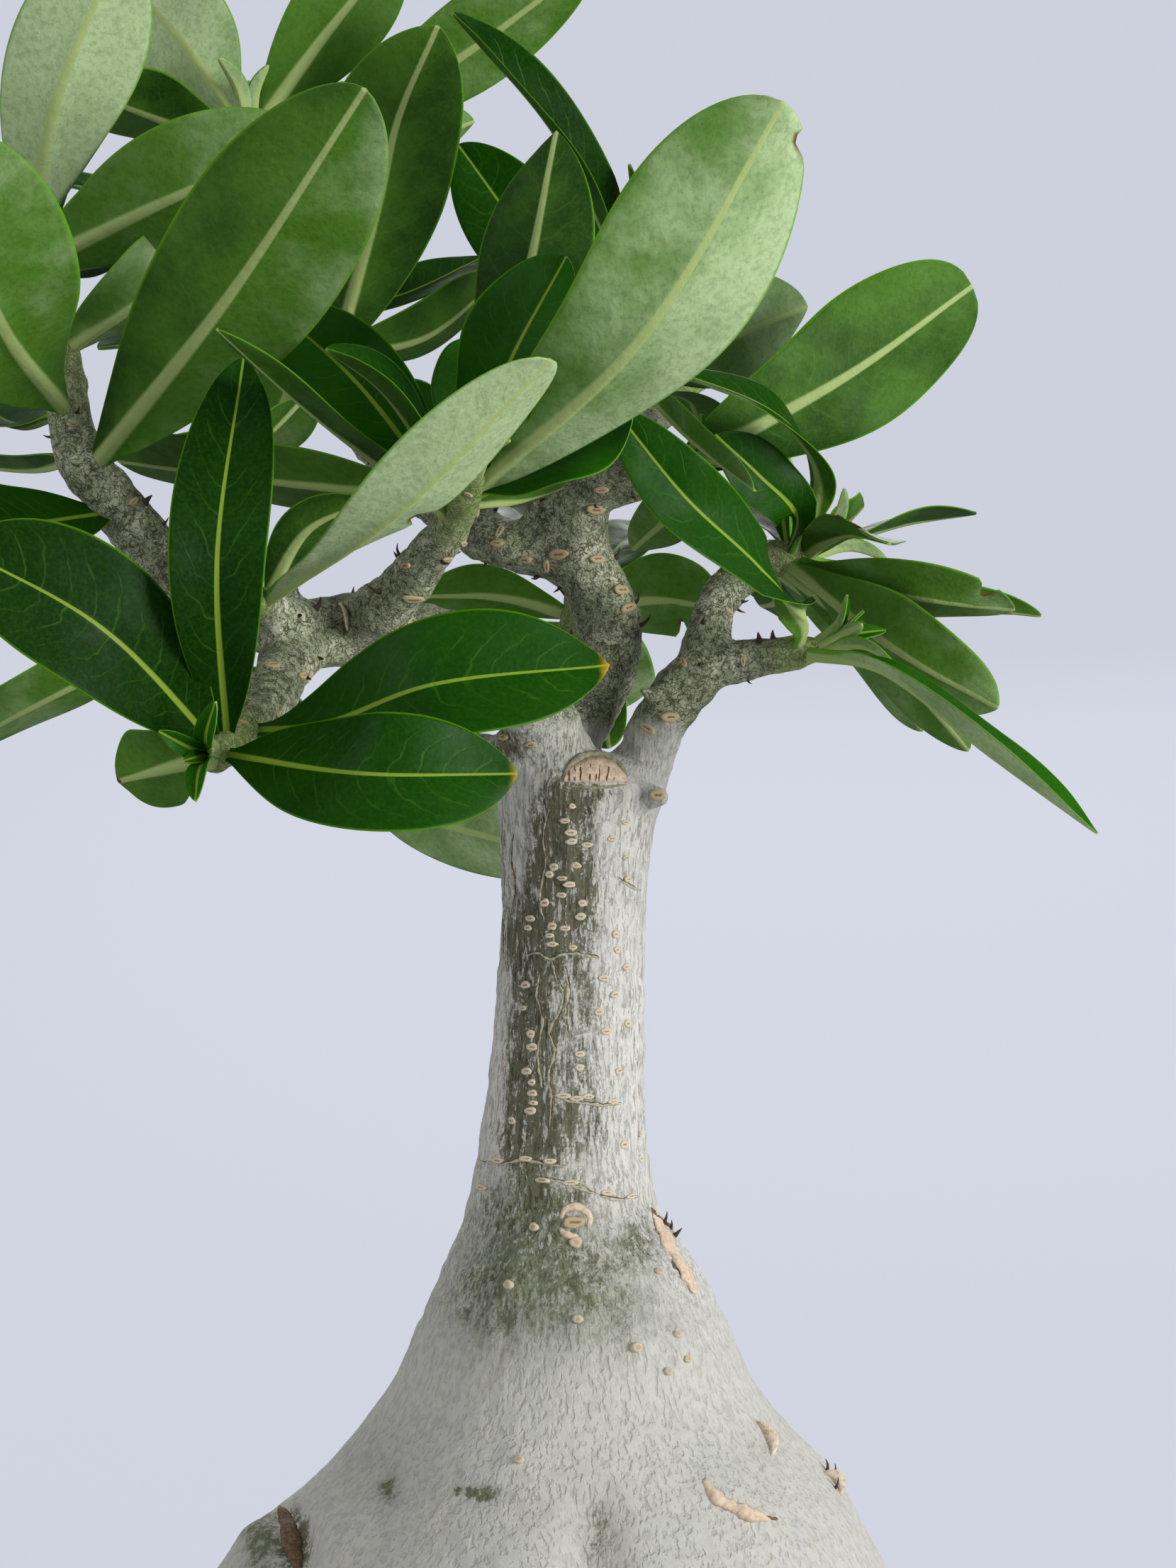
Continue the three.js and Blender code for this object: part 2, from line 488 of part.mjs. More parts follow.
function potWallRadius(height) {
  return POT_FOOT_RADIUS + (POT_RIM_RADIUS - 3 - POT_FOOT_RADIUS) * (height / POT_HEIGHT);
}

function potInnerRadius(height) {
  return potWallRadius(height) - POT_WALL;
}

function makePot() {
  let pot = solidOfGeometry(new THREE.LatheGeometry(potProfile(), POT_SEGMENTS));
  const above = new THREE.Matrix4().makeRotationX(Math.PI / 2);
  pot = solidOfGeometry(geometryOfSolid(pot).applyMatrix4(above));
  for (let hole = 0; hole < DRAIN_HOLES; hole += 1) {
    const angle = (2 * Math.PI * (hole + 0.5)) / DRAIN_HOLES;
    const drill = new THREE.CylinderGeometry(DRAIN_RADIUS, DRAIN_RADIUS, POT_FLOOR * 3, 12);
    drill.rotateX(Math.PI / 2);
    drill.translate(DRAIN_CIRCLE_RADIUS * Math.cos(angle), DRAIN_CIRCLE_RADIUS * Math.sin(angle), 0);
    pot = pot.subtract(solidOfGeometry(drill));
  }
  return pot;
}

// The potting mix fills the pot and has a plain hole for the caudex
function makeSoil(random) {
  const ringOf = (radius, height, rough) => {
    const ring = [];
    for (let side = 0; side < POT_SEGMENTS; side += 1) {
      const angle = (2 * Math.PI * side) / POT_SEGMENTS;
      const lift = rough * (2 * random() - 1);
      ring.push(new THREE.Vector3(radius * Math.cos(angle), radius * Math.sin(angle), height + lift));
    }
    return ring;
  };
  const edge = (height) => potInnerRadius(height) - CLEARANCE - 0.1;
  const bottom = POT_FLOOR + CLEARANCE;
  const rings = [ringOf(edge(bottom) - 4, bottom, 0), ringOf(edge(bottom + FLOOR_FILLET), bottom + FLOOR_FILLET, 0)];
  [60, SOIL_TOP - 4].forEach((height) => rings.push(ringOf(edge(height), height, 0)));
  rings.push(ringOf(edge(SOIL_TOP) - 3, SOIL_TOP, SOIL_ROUGHNESS));
  rings.push(ringOf(114, SOIL_TOP + 2, SOIL_ROUGHNESS), ringOf(102, SOIL_TOP + 3.5, SOIL_ROUGHNESS));
  rings.push(ringOf(60, SOIL_TOP + 4, 0));
  return loft(rings).subtract(trunkSolid(HOLE_CLEARANCE, HOLE_CLEARANCE));
}

// The wood grew as one piece: caudex, trunk, limbs, old stubs and the bare lower part of each shoot
function makeWood(random) {
  let wood = trunkSolid(0, 0);
  Object.values(LIMBS).forEach((path) => {
    wood = wood.add(loft(branchRings(branchLine(path), 0, 1, BRANCH_SIDES, random)));
  });
  Object.values(SHOOTS).forEach(({ path, leafy }) => {
    wood = wood.add(loft(branchRings(branchLine(path), 0, leafy, BRANCH_SIDES, random)));
  });
  return wood;
}

// A leafy shoot: the green end of a branch with all of its leaves grown onto it
function makeShoot(name, random) {
  const { path, leafy } = SHOOTS[name];
  const line = branchLine(path);
  const rings = branchRings(line, leafy + CLEARANCE / line.length, 1, SHOOT_SIDES, random);
  let shoot = loft([...rings, budRing(rings)]);
  LEAVES[name].forEach((one) => {
    shoot = shoot.add(plate(...bladeSides(line.curve.getPointAt(one.at), one, random)));
  });
  return shoot;
}

// The object

const finish = {
  pot: new THREE.MeshStandardMaterial({ color: 0xb9b2a6, roughness: 0.75, metalness: 0 }),
  soil: new THREE.MeshStandardMaterial({ color: 0x4b3d31, roughness: 1, metalness: 0 }),
  bark: new THREE.MeshStandardMaterial({ color: 0xb3b0a2, roughness: 0.8, metalness: 0 }),
};

function leafFinish(shade) {
  return new THREE.MeshStandardMaterial({ color: shade, roughness: 0.45, metalness: 0 });
}

const plant = new THREE.Group();

function place(name, solid, material) {
  const mesh = new THREE.Mesh(geometryOfSolid(solid), material);
  mesh.name = name;
  plant.add(mesh);
}

place('pot', makePot(), finish.pot);
place('potting_mix', makeSoil(makeRandom(SEED)), finish.soil);
place('wood', makeWood(makeRandom(SEED + 1)), finish.bark);
Object.keys(SHOOTS).forEach((name, order) => {
  place(`shoot_${name}`, makeShoot(name, makeRandom(SEED + 10 + order)), leafFinish(0x4c7a2c));
});

export default plant;
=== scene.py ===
"""Potted desert rose: a swollen grey trunk with leafy shoots, in potting mix in a plain round pot.

Lengths are in millimetres until a piece is finished, and in metres from there on. +Z is up, +X is to
the right and +Y points away from the viewer. The origin is the centre of the pot's flat underside.
"""

from __future__ import annotations

import bisect
import logging
import math
import random
from dataclasses import dataclass, field
from enum import Enum
from typing import Iterator, Sequence

import bmesh
import bpy
from mathutils import Matrix, Vector, noise
from mathutils.bvhtree import BVHTree
from mathutils.kdtree import KDTree

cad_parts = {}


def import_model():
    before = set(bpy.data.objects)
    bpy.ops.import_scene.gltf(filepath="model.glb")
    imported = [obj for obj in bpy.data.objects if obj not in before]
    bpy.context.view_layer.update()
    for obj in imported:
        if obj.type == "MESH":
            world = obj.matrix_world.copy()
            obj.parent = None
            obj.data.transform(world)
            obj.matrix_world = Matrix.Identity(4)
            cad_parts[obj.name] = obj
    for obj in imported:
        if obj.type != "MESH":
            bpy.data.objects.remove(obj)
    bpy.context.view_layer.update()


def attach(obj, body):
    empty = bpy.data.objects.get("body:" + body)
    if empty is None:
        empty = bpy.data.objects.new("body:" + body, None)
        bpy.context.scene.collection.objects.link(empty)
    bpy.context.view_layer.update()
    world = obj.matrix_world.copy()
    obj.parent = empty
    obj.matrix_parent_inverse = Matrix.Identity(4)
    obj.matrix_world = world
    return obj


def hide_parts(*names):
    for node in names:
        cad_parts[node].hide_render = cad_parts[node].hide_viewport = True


log = logging.getLogger("desert_rose")

MM = 0.001
BODY = "root"

Pair = tuple[float, float]
Triple = tuple[float, float, float]
Found = tuple[Vector, Vector]
Colour = tuple[float, float, float, float]
Socket = bpy.types.NodeSocket


def shade(red: float, green: float, blue: float) -> Colour:
    """Turns a screen colour of 0 to 255 into the linear colour that a shader takes."""

    def linear(value: float) -> float:
        """Linear value of one channel."""
        part = value / 255
        return part / 12.92 if part <= 0.04045 else ((part + 0.055) / 1.055) ** 2.4

    return (linear(red), linear(green), linear(blue), 1.0)


def smoothstep(low: float, high: float, value: float) -> float:
    """Eases from 0 at low to 1 at high."""
    part = min(max((value - low) / (high - low), 0.0), 1.0)
    return part * part * (3 - 2 * part)


@dataclass(frozen=True)
class Eye:
    """The viewer of the photograph, who looks level along +Y."""

    x: float = 8.5
    distance: float = 900.0
    z: float = 400.0

    @property
    def position(self) -> Vector:
        """Where the viewer's eye is."""
        return Vector((self.x, -self.distance, self.z))

    def seen(self, across: float, up: float, depth: float) -> Vector:
        """Finds the point that is seen at a place of the trunk's plane.

        Args:
            across: Place to the right in the trunk's plane.
            up: Height in the trunk's plane.
            depth: How far the point lies behind that plane, or before it if negative.

        Returns:
            The point on the line of sight at that depth.
        """
        spread = (self.distance + depth) / self.distance
        return Vector((self.x + (across - self.x) * spread, depth, self.z + (up - self.z) * spread))

    def towards(self, across: float, up: float) -> Vector:
        """Direction of sight to a place of the trunk's plane."""
        return (self.seen(across, up, 0.0) - self.position).normalized()


EYE = Eye()


class Line:
    """A smooth line through points, measured along its length."""

    STEPS = 140

    def __init__(self, points: Sequence[Vector]) -> None:
        """Takes the points and measures the line."""
        self.points = list(points)
        samples = [self._at(step / self.STEPS) for step in range(self.STEPS + 1)]
        self.reached = [0.0]
        for before, after in zip(samples, samples[1:]):
            self.reached.append(self.reached[-1] + (after - before).length)

    @property
    def length(self) -> float:
        """Length of the line."""
        return self.reached[-1]

    def _at(self, place: float) -> Vector:
        """Point at a place from 0 to 1, with the given points evenly spaced."""
        last = len(self.points) - 1
        low = min(int(place * last), last - 1)
        part = place * last - low
        first, second = self.points[low], self.points[low + 1]
        before = self.points[low - 1] if low else first * 2 - second
        after = self.points[low + 2] if low + 2 <= last else second * 2 - first
        steps = ((before, first), (first, second), (second, after))
        lead, gap, trail = (max((end - start).length ** 0.5, 1e-3) for start, end in steps)
        leaving = (first - before) / lead - (second - before) / (lead + gap) + (second - first) / gap
        arriving = (second - first) / gap - (after - first) / (gap + trail) + (after - second) / trail
        leaving, arriving = leaving * gap, arriving * gap
        square = (second - first) * 3 - leaving * 2 - arriving
        cube = (first - second) * 2 + leaving + arriving
        return first + leaving * part + square * part**2 + cube * part**3

    def place(self, share: float) -> float:
        """Place from 0 to 1 that lies at a share of the length."""
        wanted = min(max(share, 0.0), 1.0) * self.length
        high = min(max(bisect.bisect_left(self.reached, wanted), 1), self.STEPS)
        span = self.reached[high] - self.reached[high - 1]
        return (high - 1 + (wanted - self.reached[high - 1]) / max(span, 1e-9)) / self.STEPS

    def point(self, share: float) -> Vector:
        """Point at a share of the length."""
        return self._at(self.place(share))

    def tangent(self, share: float) -> Vector:
        """Direction of the line at a share of the length."""
        place = self.place(share)
        return (self._at(min(place + 1e-3, 1.0)) - self._at(max(place - 1e-3, 0.0))).normalized()


@dataclass
class Limb:
    """A branch: the points (across, up, depth, radius) along its middle."""

    path: Sequence[tuple[float, float, float, float]]
    line: Line = field(init=False)

    def __post_init__(self) -> None:
        """Draws the branch's line."""
        self.line = Line([EYE.seen(*point[:3]) for point in self.path])

    def radius(self, share: float) -> float:
        """Radius at a share of the length."""
        place = self.line.place(share) * (len(self.path) - 1)
        low = min(int(place), len(self.path) - 2)
        return self.path[low][3] + (self.path[low + 1][3] - self.path[low][3]) * (place - low)

    def rings(self, sides: int, step: float) -> list[list[Vector]]:
        """Rings of points across the branch from end to end.

        Args:
            sides: Points on a ring.
            step: Distance between rings.

        Returns:
            The rings, with a rounded end.
        """
        count = max(3, round(self.line.length / step))
        across = Vector((0.0, 1.0, 0.0))
        rings = []
        stations = [(index / count, 1.0, 0.0) for index in range(count + 1)]
        stations += [(1.0, 0.8, 1.6), (1.0, 0.45, 2.6)]
        for share, narrow, beyond in stations:
            along = self.line.tangent(share)
            centre = self.line.point(share) + along * beyond
            across = (across - along * across.dot(along)).normalized()
            beside = along.cross(across)
            reach = self.radius(share) * narrow
            turns = [2 * math.pi * side / sides for side in range(sides)]
            spokes = [across * math.cos(turn) + beside * math.sin(turn) for turn in turns]
            rings.append([centre + spoke * reach for spoke in spokes])
        return rings


def settled(name: str, made: bmesh.types.BMesh) -> bpy.types.Mesh:
    """Turns a mesh under construction into a stored one."""
    mesh = bpy.data.meshes.new(name)
    made.to_mesh(mesh)
    made.free()
    return mesh


def smoothed(mesh: bpy.types.Mesh) -> bpy.types.Mesh:
    """Shades every face of a mesh smooth."""
    mesh.polygons.foreach_set("use_smooth", [True] * len(mesh.polygons))
    return mesh


def placed(name: str, data: bpy.types.ID) -> bpy.types.Object:
    """Puts a mesh, a light or a camera into the scene."""
    item = bpy.data.objects.new(name, data)
    bpy.context.scene.collection.objects.link(item)
    return item


def baked(item: bpy.types.Object) -> bpy.types.Mesh:
    """The mesh of an object with its modifiers applied."""
    shown = item.evaluated_get(bpy.context.evaluated_depsgraph_get())
    return bpy.data.meshes.new_from_object(shown)


def move_into(target: bmesh.types.BMesh, piece: bmesh.types.BMesh) -> None:
    """Moves one mesh under construction into another, with its layers."""
    passing = settled("passing", piece)
    target.from_mesh(passing)
    bpy.data.meshes.remove(passing)


def add_tube(target: bmesh.types.BMesh, rings: Sequence[Sequence[Vector]]) -> None:
    """Adds a closed tube through rings of points.

    Args:
        target: Mesh that receives the tube.
        rings: Rings with the same number of points, in order.
    """
    rows, sides = len(rings), len(rings[0])
    tube = bmesh.new()
    grid = bmesh.ops.create_grid(tube, x_segments=rows - 1, y_segments=sides, size=0.5)
    for vert in grid["verts"]:
        row = round((vert.co.x + 0.5) * (rows - 1))
        side = round((vert.co.y + 0.5) * sides) % sides
        vert.co = rings[row][side]
    bmesh.ops.remove_doubles(tube, verts=tube.verts[:], dist=1e-4)
    bmesh.ops.holes_fill(tube, edges=[edge for edge in tube.edges if edge.is_boundary], sides=0)
    bmesh.ops.recalc_face_normals(tube, faces=tube.faces[:])
    move_into(target, tube)


def turned(name: str, profile: Sequence[Pair], steps: int, weld: float) -> bpy.types.Mesh:
    """Turns a profile round the upright axis.

    Args:
        name: Name of the mesh.
        profile: Radii and heights, in order.
        steps: Steps of the full turn.
        weld: Distance below which points are joined.

    Returns:
        The turned mesh, with its faces outwards.
    """
    shape = bmesh.new()
    verts = [shape.verts.new((radius, 0, height)) for radius, height in profile]
    edges = [shape.edges.new(pair) for pair in zip(verts, verts[1:])]
    bmesh.ops.spin(
        shape, geom=verts + edges, cent=(0, 0, 0), axis=(0, 0, 1), angle=2 * math.pi, steps=steps,
        use_merge=True, use_duplicate=False,
    )
    bmesh.ops.remove_doubles(shape, verts=shape.verts[:], dist=weld)
    bmesh.ops.recalc_face_normals(shape, faces=shape.faces[:])
    return settled(name, shape)


def finish_piece(
    name: str,
    made: bmesh.types.BMesh | bpy.types.Mesh,
    materials: Sequence[bpy.types.Material],
    stands_for: Sequence[str] = (),
) -> bpy.types.Object:
    """Turns a mesh in millimetres into a finished piece of the object.

    Args:
        name: Name of the piece.
        made: Its mesh, in millimetres.
        materials: Its materials, in the order of the faces' material numbers.
        stands_for: Solids of the frame that the piece replaces.

    Returns:
        The piece, riding on the object's body.
    """
    mesh = smoothed(made if isinstance(made, bpy.types.Mesh) else settled(name, made))
    mesh.name = name
    mesh.transform(Matrix.Scale(MM, 4))
    for material in materials:
        mesh.materials.append(material)
    piece = placed(name, mesh)
    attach(piece, BODY)
    if stands_for:
        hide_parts(*stands_for)
    log.info("%s: %d faces", name, len(mesh.polygons))
    return piece


class Paint:
    """Builds the nodes of one material."""

    def __init__(self, name: str) -> None:
        """Starts an empty material."""
        self.material = bpy.data.materials.new(name)
        self.material.use_nodes = True
        self.tree = self.material.node_tree
        self.tree.nodes.clear()
        self.place = self._node("TexCoord").outputs["Object"]

    def _feed(self, socket: Socket, value: object) -> None:
        """Links a socket to another, or sets its value."""
        if isinstance(value, bpy.types.NodeSocket):
            self.tree.links.new(value, socket)
        else:
            socket.default_value = value

    def _node(
        self, kind: str, given: dict[str | int, object] | None = None, **options: object
    ) -> bpy.types.Node:
        """Adds a node.

        Args:
            kind: Kind of node.
            given: The value of each input that is set, or the socket that feeds it.
            **options: Options of the node.

        Returns:
            The node.
        """
        node = self.tree.nodes.new(f"ShaderNode{kind}")
        for name, value in options.items():
            setattr(node, name, value)
        for key, value in (given or {}).items():
            self._feed(node.inputs[key], value)
        return node

    def stretched(self, x: float, y: float, z: float) -> Socket:
        """Coordinates scaled along each axis."""
        return self._node("Mapping", {"Vector": self.place, "Scale": (x, y, z)}).outputs["Vector"]

    def noise(
        self, size: float, detail: float = 4, rough: float = 0.55, place: Socket | None = None
    ) -> Socket:
        """Cloudy noise from 0 to 1 with features of a size in millimetres."""
        scale = 1 / (size * MM)
        given = {"Vector": place or self.place, "Scale": scale, "Detail": detail, "Roughness": rough}
        return self._node("TexNoise", given).outputs["Fac"]

    def cells(self, size: float) -> Socket:
        """Distance to the nearest of points that lie about a size in millimetres apart."""
        return self._node("TexVoronoi", {"Vector": self.place, "Scale": 1 / (size * MM)}).outputs["Distance"]

    def ridges(self, size: float, place: Socket) -> Socket:
        """Wavering thin lines, 1 on a line and 0 off it, about a size in millimetres apart."""
        given = {"Vector": place, "Scale": 1 / (size * MM), "Detail": 3, "Distortion": 0.6}
        off = self.computed("ABSOLUTE", self.minus(self._node("TexNoise", given).outputs["Fac"], 0.5))
        return self.span(off, 0.0, 0.035, 1.0, 0.0)

    def openness(self, reach: float) -> Socket:
        """How open the space over the surface is within a reach in metres, from 0 to 1."""
        return self._node("AmbientOcclusion", {"Distance": reach}, samples=12).outputs["AO"]

    def height(self) -> Socket:
        """Height above the origin in metres."""
        return self._node("SeparateXYZ", {"Vector": self.place}).outputs["Z"]

    def span(self, value: Socket, low: float, high: float, start: float = 0.0, end: float = 1.0) -> Socket:
        """Eases from start at low to end at high."""
        given = {"Value": value, "From Min": low, "From Max": high, "To Min": start, "To Max": end}
        return self._node("MapRange", given, interpolation_type="SMOOTHSTEP").outputs["Result"]

    def computed(self, kind: str, first: object, second: object = 0.0) -> Socket:
        """One operation on one or two numbers."""
        return self._node("Math", {0: first, 1: second}, operation=kind).outputs["Value"]

    def plus(self, first: object, second: object) -> Socket:
        """The sum of two numbers."""
        return self.computed("ADD", first, second)

    def minus(self, first: object, second: object) -> Socket:
        """The difference of two numbers."""
        return self.computed("SUBTRACT", first, second)

    def times(self, first: object, second: object) -> Socket:
        """The product of two numbers."""
        return self.computed("MULTIPLY", first, second)

    def mix(self, factor: object, first: object, second: object) -> Socket:
        """Mixes two colours."""
        node = self._node("Mix", data_type="RGBA")
        colours = [socket for socket in node.inputs if socket.type == "RGBA"]
        self._feed(node.inputs["Factor"], factor)
        self._feed(colours[0], first)
        self._feed(colours[1], second)
        return next(socket for socket in node.outputs if socket.type == "RGBA")

    def channels(self, name: str) -> list[Socket]:
        """The red, green and blue numbers of a piece's own colour attribute."""
        colour = self._node("Attribute", attribute_name=name).outputs["Color"]
        return list(self._node("SeparateColor", {"Color": colour}).outputs)[:3]

    def number(self, name: str) -> Socket:
        """A piece's own number attribute."""
        return self._node("Attribute", attribute_name=name).outputs["Fac"]

    def flat_place(self, name: str) -> Sequence[Socket]:
        """The two coordinates of a piece's own UV map."""
        flat = self._node("UVMap", uv_map=name).outputs["UV"]
        return list(self._node("SeparateXYZ", {"Vector": flat}).outputs)[:2]

    def bump(
        self, height: Socket, depth: float, strength: float = 1.0, under: Socket | None = None
    ) -> Socket:
        """Relief of a depth in millimetres, on top of an earlier relief if given."""
        given = {"Strength": strength, "Distance": depth * MM, "Height": height}
        if under is not None:
            given["Normal"] = under
        return self._node("Bump", given).outputs["Normal"]

    def skin(self, colour: object, rough: object, normal: Socket | None = None, **settings: object) -> Socket:
        """The main shader.

        Args:
            colour: Base colour, or the socket that gives it.
            rough: Roughness, or the socket that gives it.
            normal: Relief.
            **settings: Further inputs of the shader, with _ for each space.

        Returns:
            The shader's output.
        """
        given = {"Base Color": colour, "Roughness": rough}
        for name, value in settings.items():
            given[name.replace("_", " ")] = value
        if normal is not None:
            given["Normal"] = normal
        return self._node("BsdfPrincipled", given).outputs["BSDF"]

    def through(self, colour: object, solid: Socket, share: float) -> Socket:
        """Lets a share of the light through a thin blade, tinted by a colour."""
        glow = self._node("BsdfTranslucent", {"Color": colour}).outputs["BSDF"]
        return self._node("MixShader", {"Fac": share, 1: solid, 2: glow}).outputs["Shader"]

    def done(self, surface: Socket) -> bpy.types.Material:
        """Closes the material on its surface shader."""
        self._node("OutputMaterial", {"Surface": surface})
        return self.material


@dataclass(frozen=True)
class BarkFinish:
    """Pale grey bark, dark and streaked in a band of the trunk, and greener on young wood."""

    pale: Colour = shade(197, 196, 193)
    cream: Colour = shade(204, 201, 194)
    grey: Colour = shade(158, 158, 150)
    dark: Colour = shade(70, 66, 42)
    moss: Colour = shade(104, 111, 84)
    vein: Colour = shade(126, 126, 116)
    branch: Colour = shade(150, 157, 126)
    branch_dark: Colour = shade(60, 56, 34)
    branch_pale: Colour = shade(196, 196, 172)
    young: Colour = shade(118, 142, 66)

    def _trunk(self, paint: Paint, darkness: Socket, mossy: Socket) -> tuple[Socket, Socket]:
        """Colour and relief height of the old bark of the caudex and trunk."""
        upright = paint.stretched(1.0, 1.0, 0.2)
        cloud = paint.noise(18, 5, 0.6)
        mottle = paint.noise(3.2, 6, 0.65)
        speck = paint.noise(1.0, 5, 0.65)
        streak = paint.noise(2.6, 6, 0.7, upright)
        trunk_part = paint.span(paint.height(), 0.21, 0.28)
        rough_part = paint.times(trunk_part, paint.span(darkness, 0.05, 0.6, 0.42, 1.0))
        fissure = paint.span(paint.noise(1.1, 5, 0.62, upright), 0.545, 0.6)
        fissure = paint.times(fissure, paint.span(cloud, 0.36, 0.6, 0.3, 1.0))
        flake = paint.span(paint.noise(1.7, 5, 0.62, paint.stretched(1.0, 1.0, 0.26)), 0.55, 0.62)
        wave = paint.span(paint.noise(1.5, 2, 0.45, paint.stretched(1.0, 1.0, 0.1)), 0.47, 0.68)
        worn = paint.mix(paint.span(cloud, 0.38, 0.66), self.pale, self.cream)
        worn = paint.mix(paint.span(trunk_part, 0.0, 1.0, 0.36, 0.0), worn, self.grey)
        greyed = paint.mix(paint.span(mottle, 0.46, 0.64, 0.0, 0.3), worn, self.grey)
        fine = paint.mix(paint.span(speck, 0.52, 0.66, 0.0, 0.26), greyed, self.grey)
        waved = paint.mix(paint.times(wave, 0.22), fine, self.vein)
        waver = paint.plus(paint.span(streak, 0.3, 0.7, -0.7, 0.7), paint.span(speck, 0.3, 0.7, -0.4, 0.4))
        band = paint.times(darkness, paint.plus(waver, 1.0))
        band_tone = paint.mix(paint.span(speck, 0.45, 0.62, 0.0, 0.55), self.dark, self.moss)
        banded = paint.mix(paint.span(band, 0.22, 0.66, 0.0, 0.94), waved, band_tone)
        mossed = paint.mix(paint.times(mossy, paint.span(mottle, 0.3, 0.7, 0.55, 0.9)), banded, self.moss)
        flaked = paint.mix(paint.times(paint.times(flake, rough_part), 0.6), mossed, self.cream)
        split = paint.times(paint.times(fissure, rough_part), 0.85)
        rise = paint.times(paint.minus(flake, fissure), rough_part)
        rise = paint.minus(rise, paint.times(wave, paint.span(trunk_part, 0.0, 1.0, 0.6, 0.3)))
        return paint.mix(split, flaked, self.dark), rise

    def _branch(self, paint: Paint) -> tuple[Socket, Socket]:
        """Colour and relief height of the wrinkled bark of the branches."""
        mottle = paint.noise(2.6, 6, 0.65)
        net = paint.times(paint.ridges(3.0, paint.place), paint.span(mottle, 0.38, 0.56, 0.25, 1.0))
        fine_net = paint.times(paint.ridges(1.5, paint.stretched(1.0, 1.0, 0.8)), 0.7)
        wrinkle = paint.computed("MAXIMUM", net, fine_net)
        scales = paint.span(paint.noise(4.5, 6, 0.65), 0.47, 0.56, 0.0, 0.8)
        scaled = paint.mix(scales, self.branch, self.branch_pale)
        green = paint.mix(paint.span(paint.noise(9, 4, 0.6), 0.47, 0.6, 0.0, 0.65), scaled, self.moss)
        rough = paint.mix(paint.span(mottle, 0.52, 0.62, 0.0, 0.5), green, self.branch_dark)
        lined = paint.mix(paint.times(wrinkle, 0.78), rough, self.branch_dark)
        return lined, paint.times(wrinkle, -1.0)

    def material(self) -> bpy.types.Material:
        """Builds the material."""
        paint = Paint("bark")
        age, darkness, mossy = paint.channels("zone")
        trunk, trunk_rise = self._trunk(paint, darkness, mossy)
        branch, branch_rise = self._branch(paint)
        paler = paint.span(paint.noise(3.2, 5, 0.6), 0.3, 0.7, 0.0, 0.3)
        sprout = paint.mix(paler, self.young, self.branch_pale)
        young_wood = paint.mix(paint.span(age, 0.1, 0.42), sprout, branch)
        old = paint.span(age, 0.66, 0.96)
        colour = paint.mix(old, young_wood, trunk)
        relief = paint.bump(paint.times(trunk_rise, old), 0.55, 0.9)
        rough_part = paint.times(branch_rise, paint.span(age, 0.66, 0.96, 1.0, 0.0))
        relief = paint.bump(rough_part, 0.7, 0.9, relief)
        relief = paint.bump(paint.noise(0.8, 4, 0.65), 0.28, 0.7, relief)
        return paint.done(paint.skin(colour, 0.75, relief, Specular_IOR_Level=0.35))


@dataclass(frozen=True)
class SpotFinish:
    """A scar, lenticel or knob: a pale corky rim round a darker middle."""

    name: str
    rim: Colour
    core: Colour

    def material(self) -> bpy.types.Material:
        """Builds the material."""
        paint = Paint(self.name)
        middle = paint.number("core")
        grain = paint.noise(0.8, 4, 0.6)
        torn = paint.plus(middle, paint.span(grain, 0.3, 0.7, -0.25, 0.25))
        colour = paint.mix(paint.span(torn, 0.25, 0.75), self.rim, self.core)
        return paint.done(paint.skin(colour, 0.78, paint.bump(grain, 0.25, 0.6), Specular_IOR_Level=0.3))


@dataclass(frozen=True)
class DryFinish:
    """Dead, dry tissue of one tone with a darker grain."""

    name: str
    tone: Colour
    grain_tone: Colour

    def material(self) -> bpy.types.Material:
        """Builds the material."""
        paint = Paint(self.name)
        grain = paint.noise(1.2, 4, 0.65)
        colour = paint.mix(paint.span(grain, 0.35, 0.7), self.tone, self.grain_tone)
        return paint.done(paint.skin(colour, 0.8, paint.bump(grain, 0.3, 0.6)))


class Side(Enum):
    """The two sides of a leaf."""

    UPPER = 0
    UNDER = 1


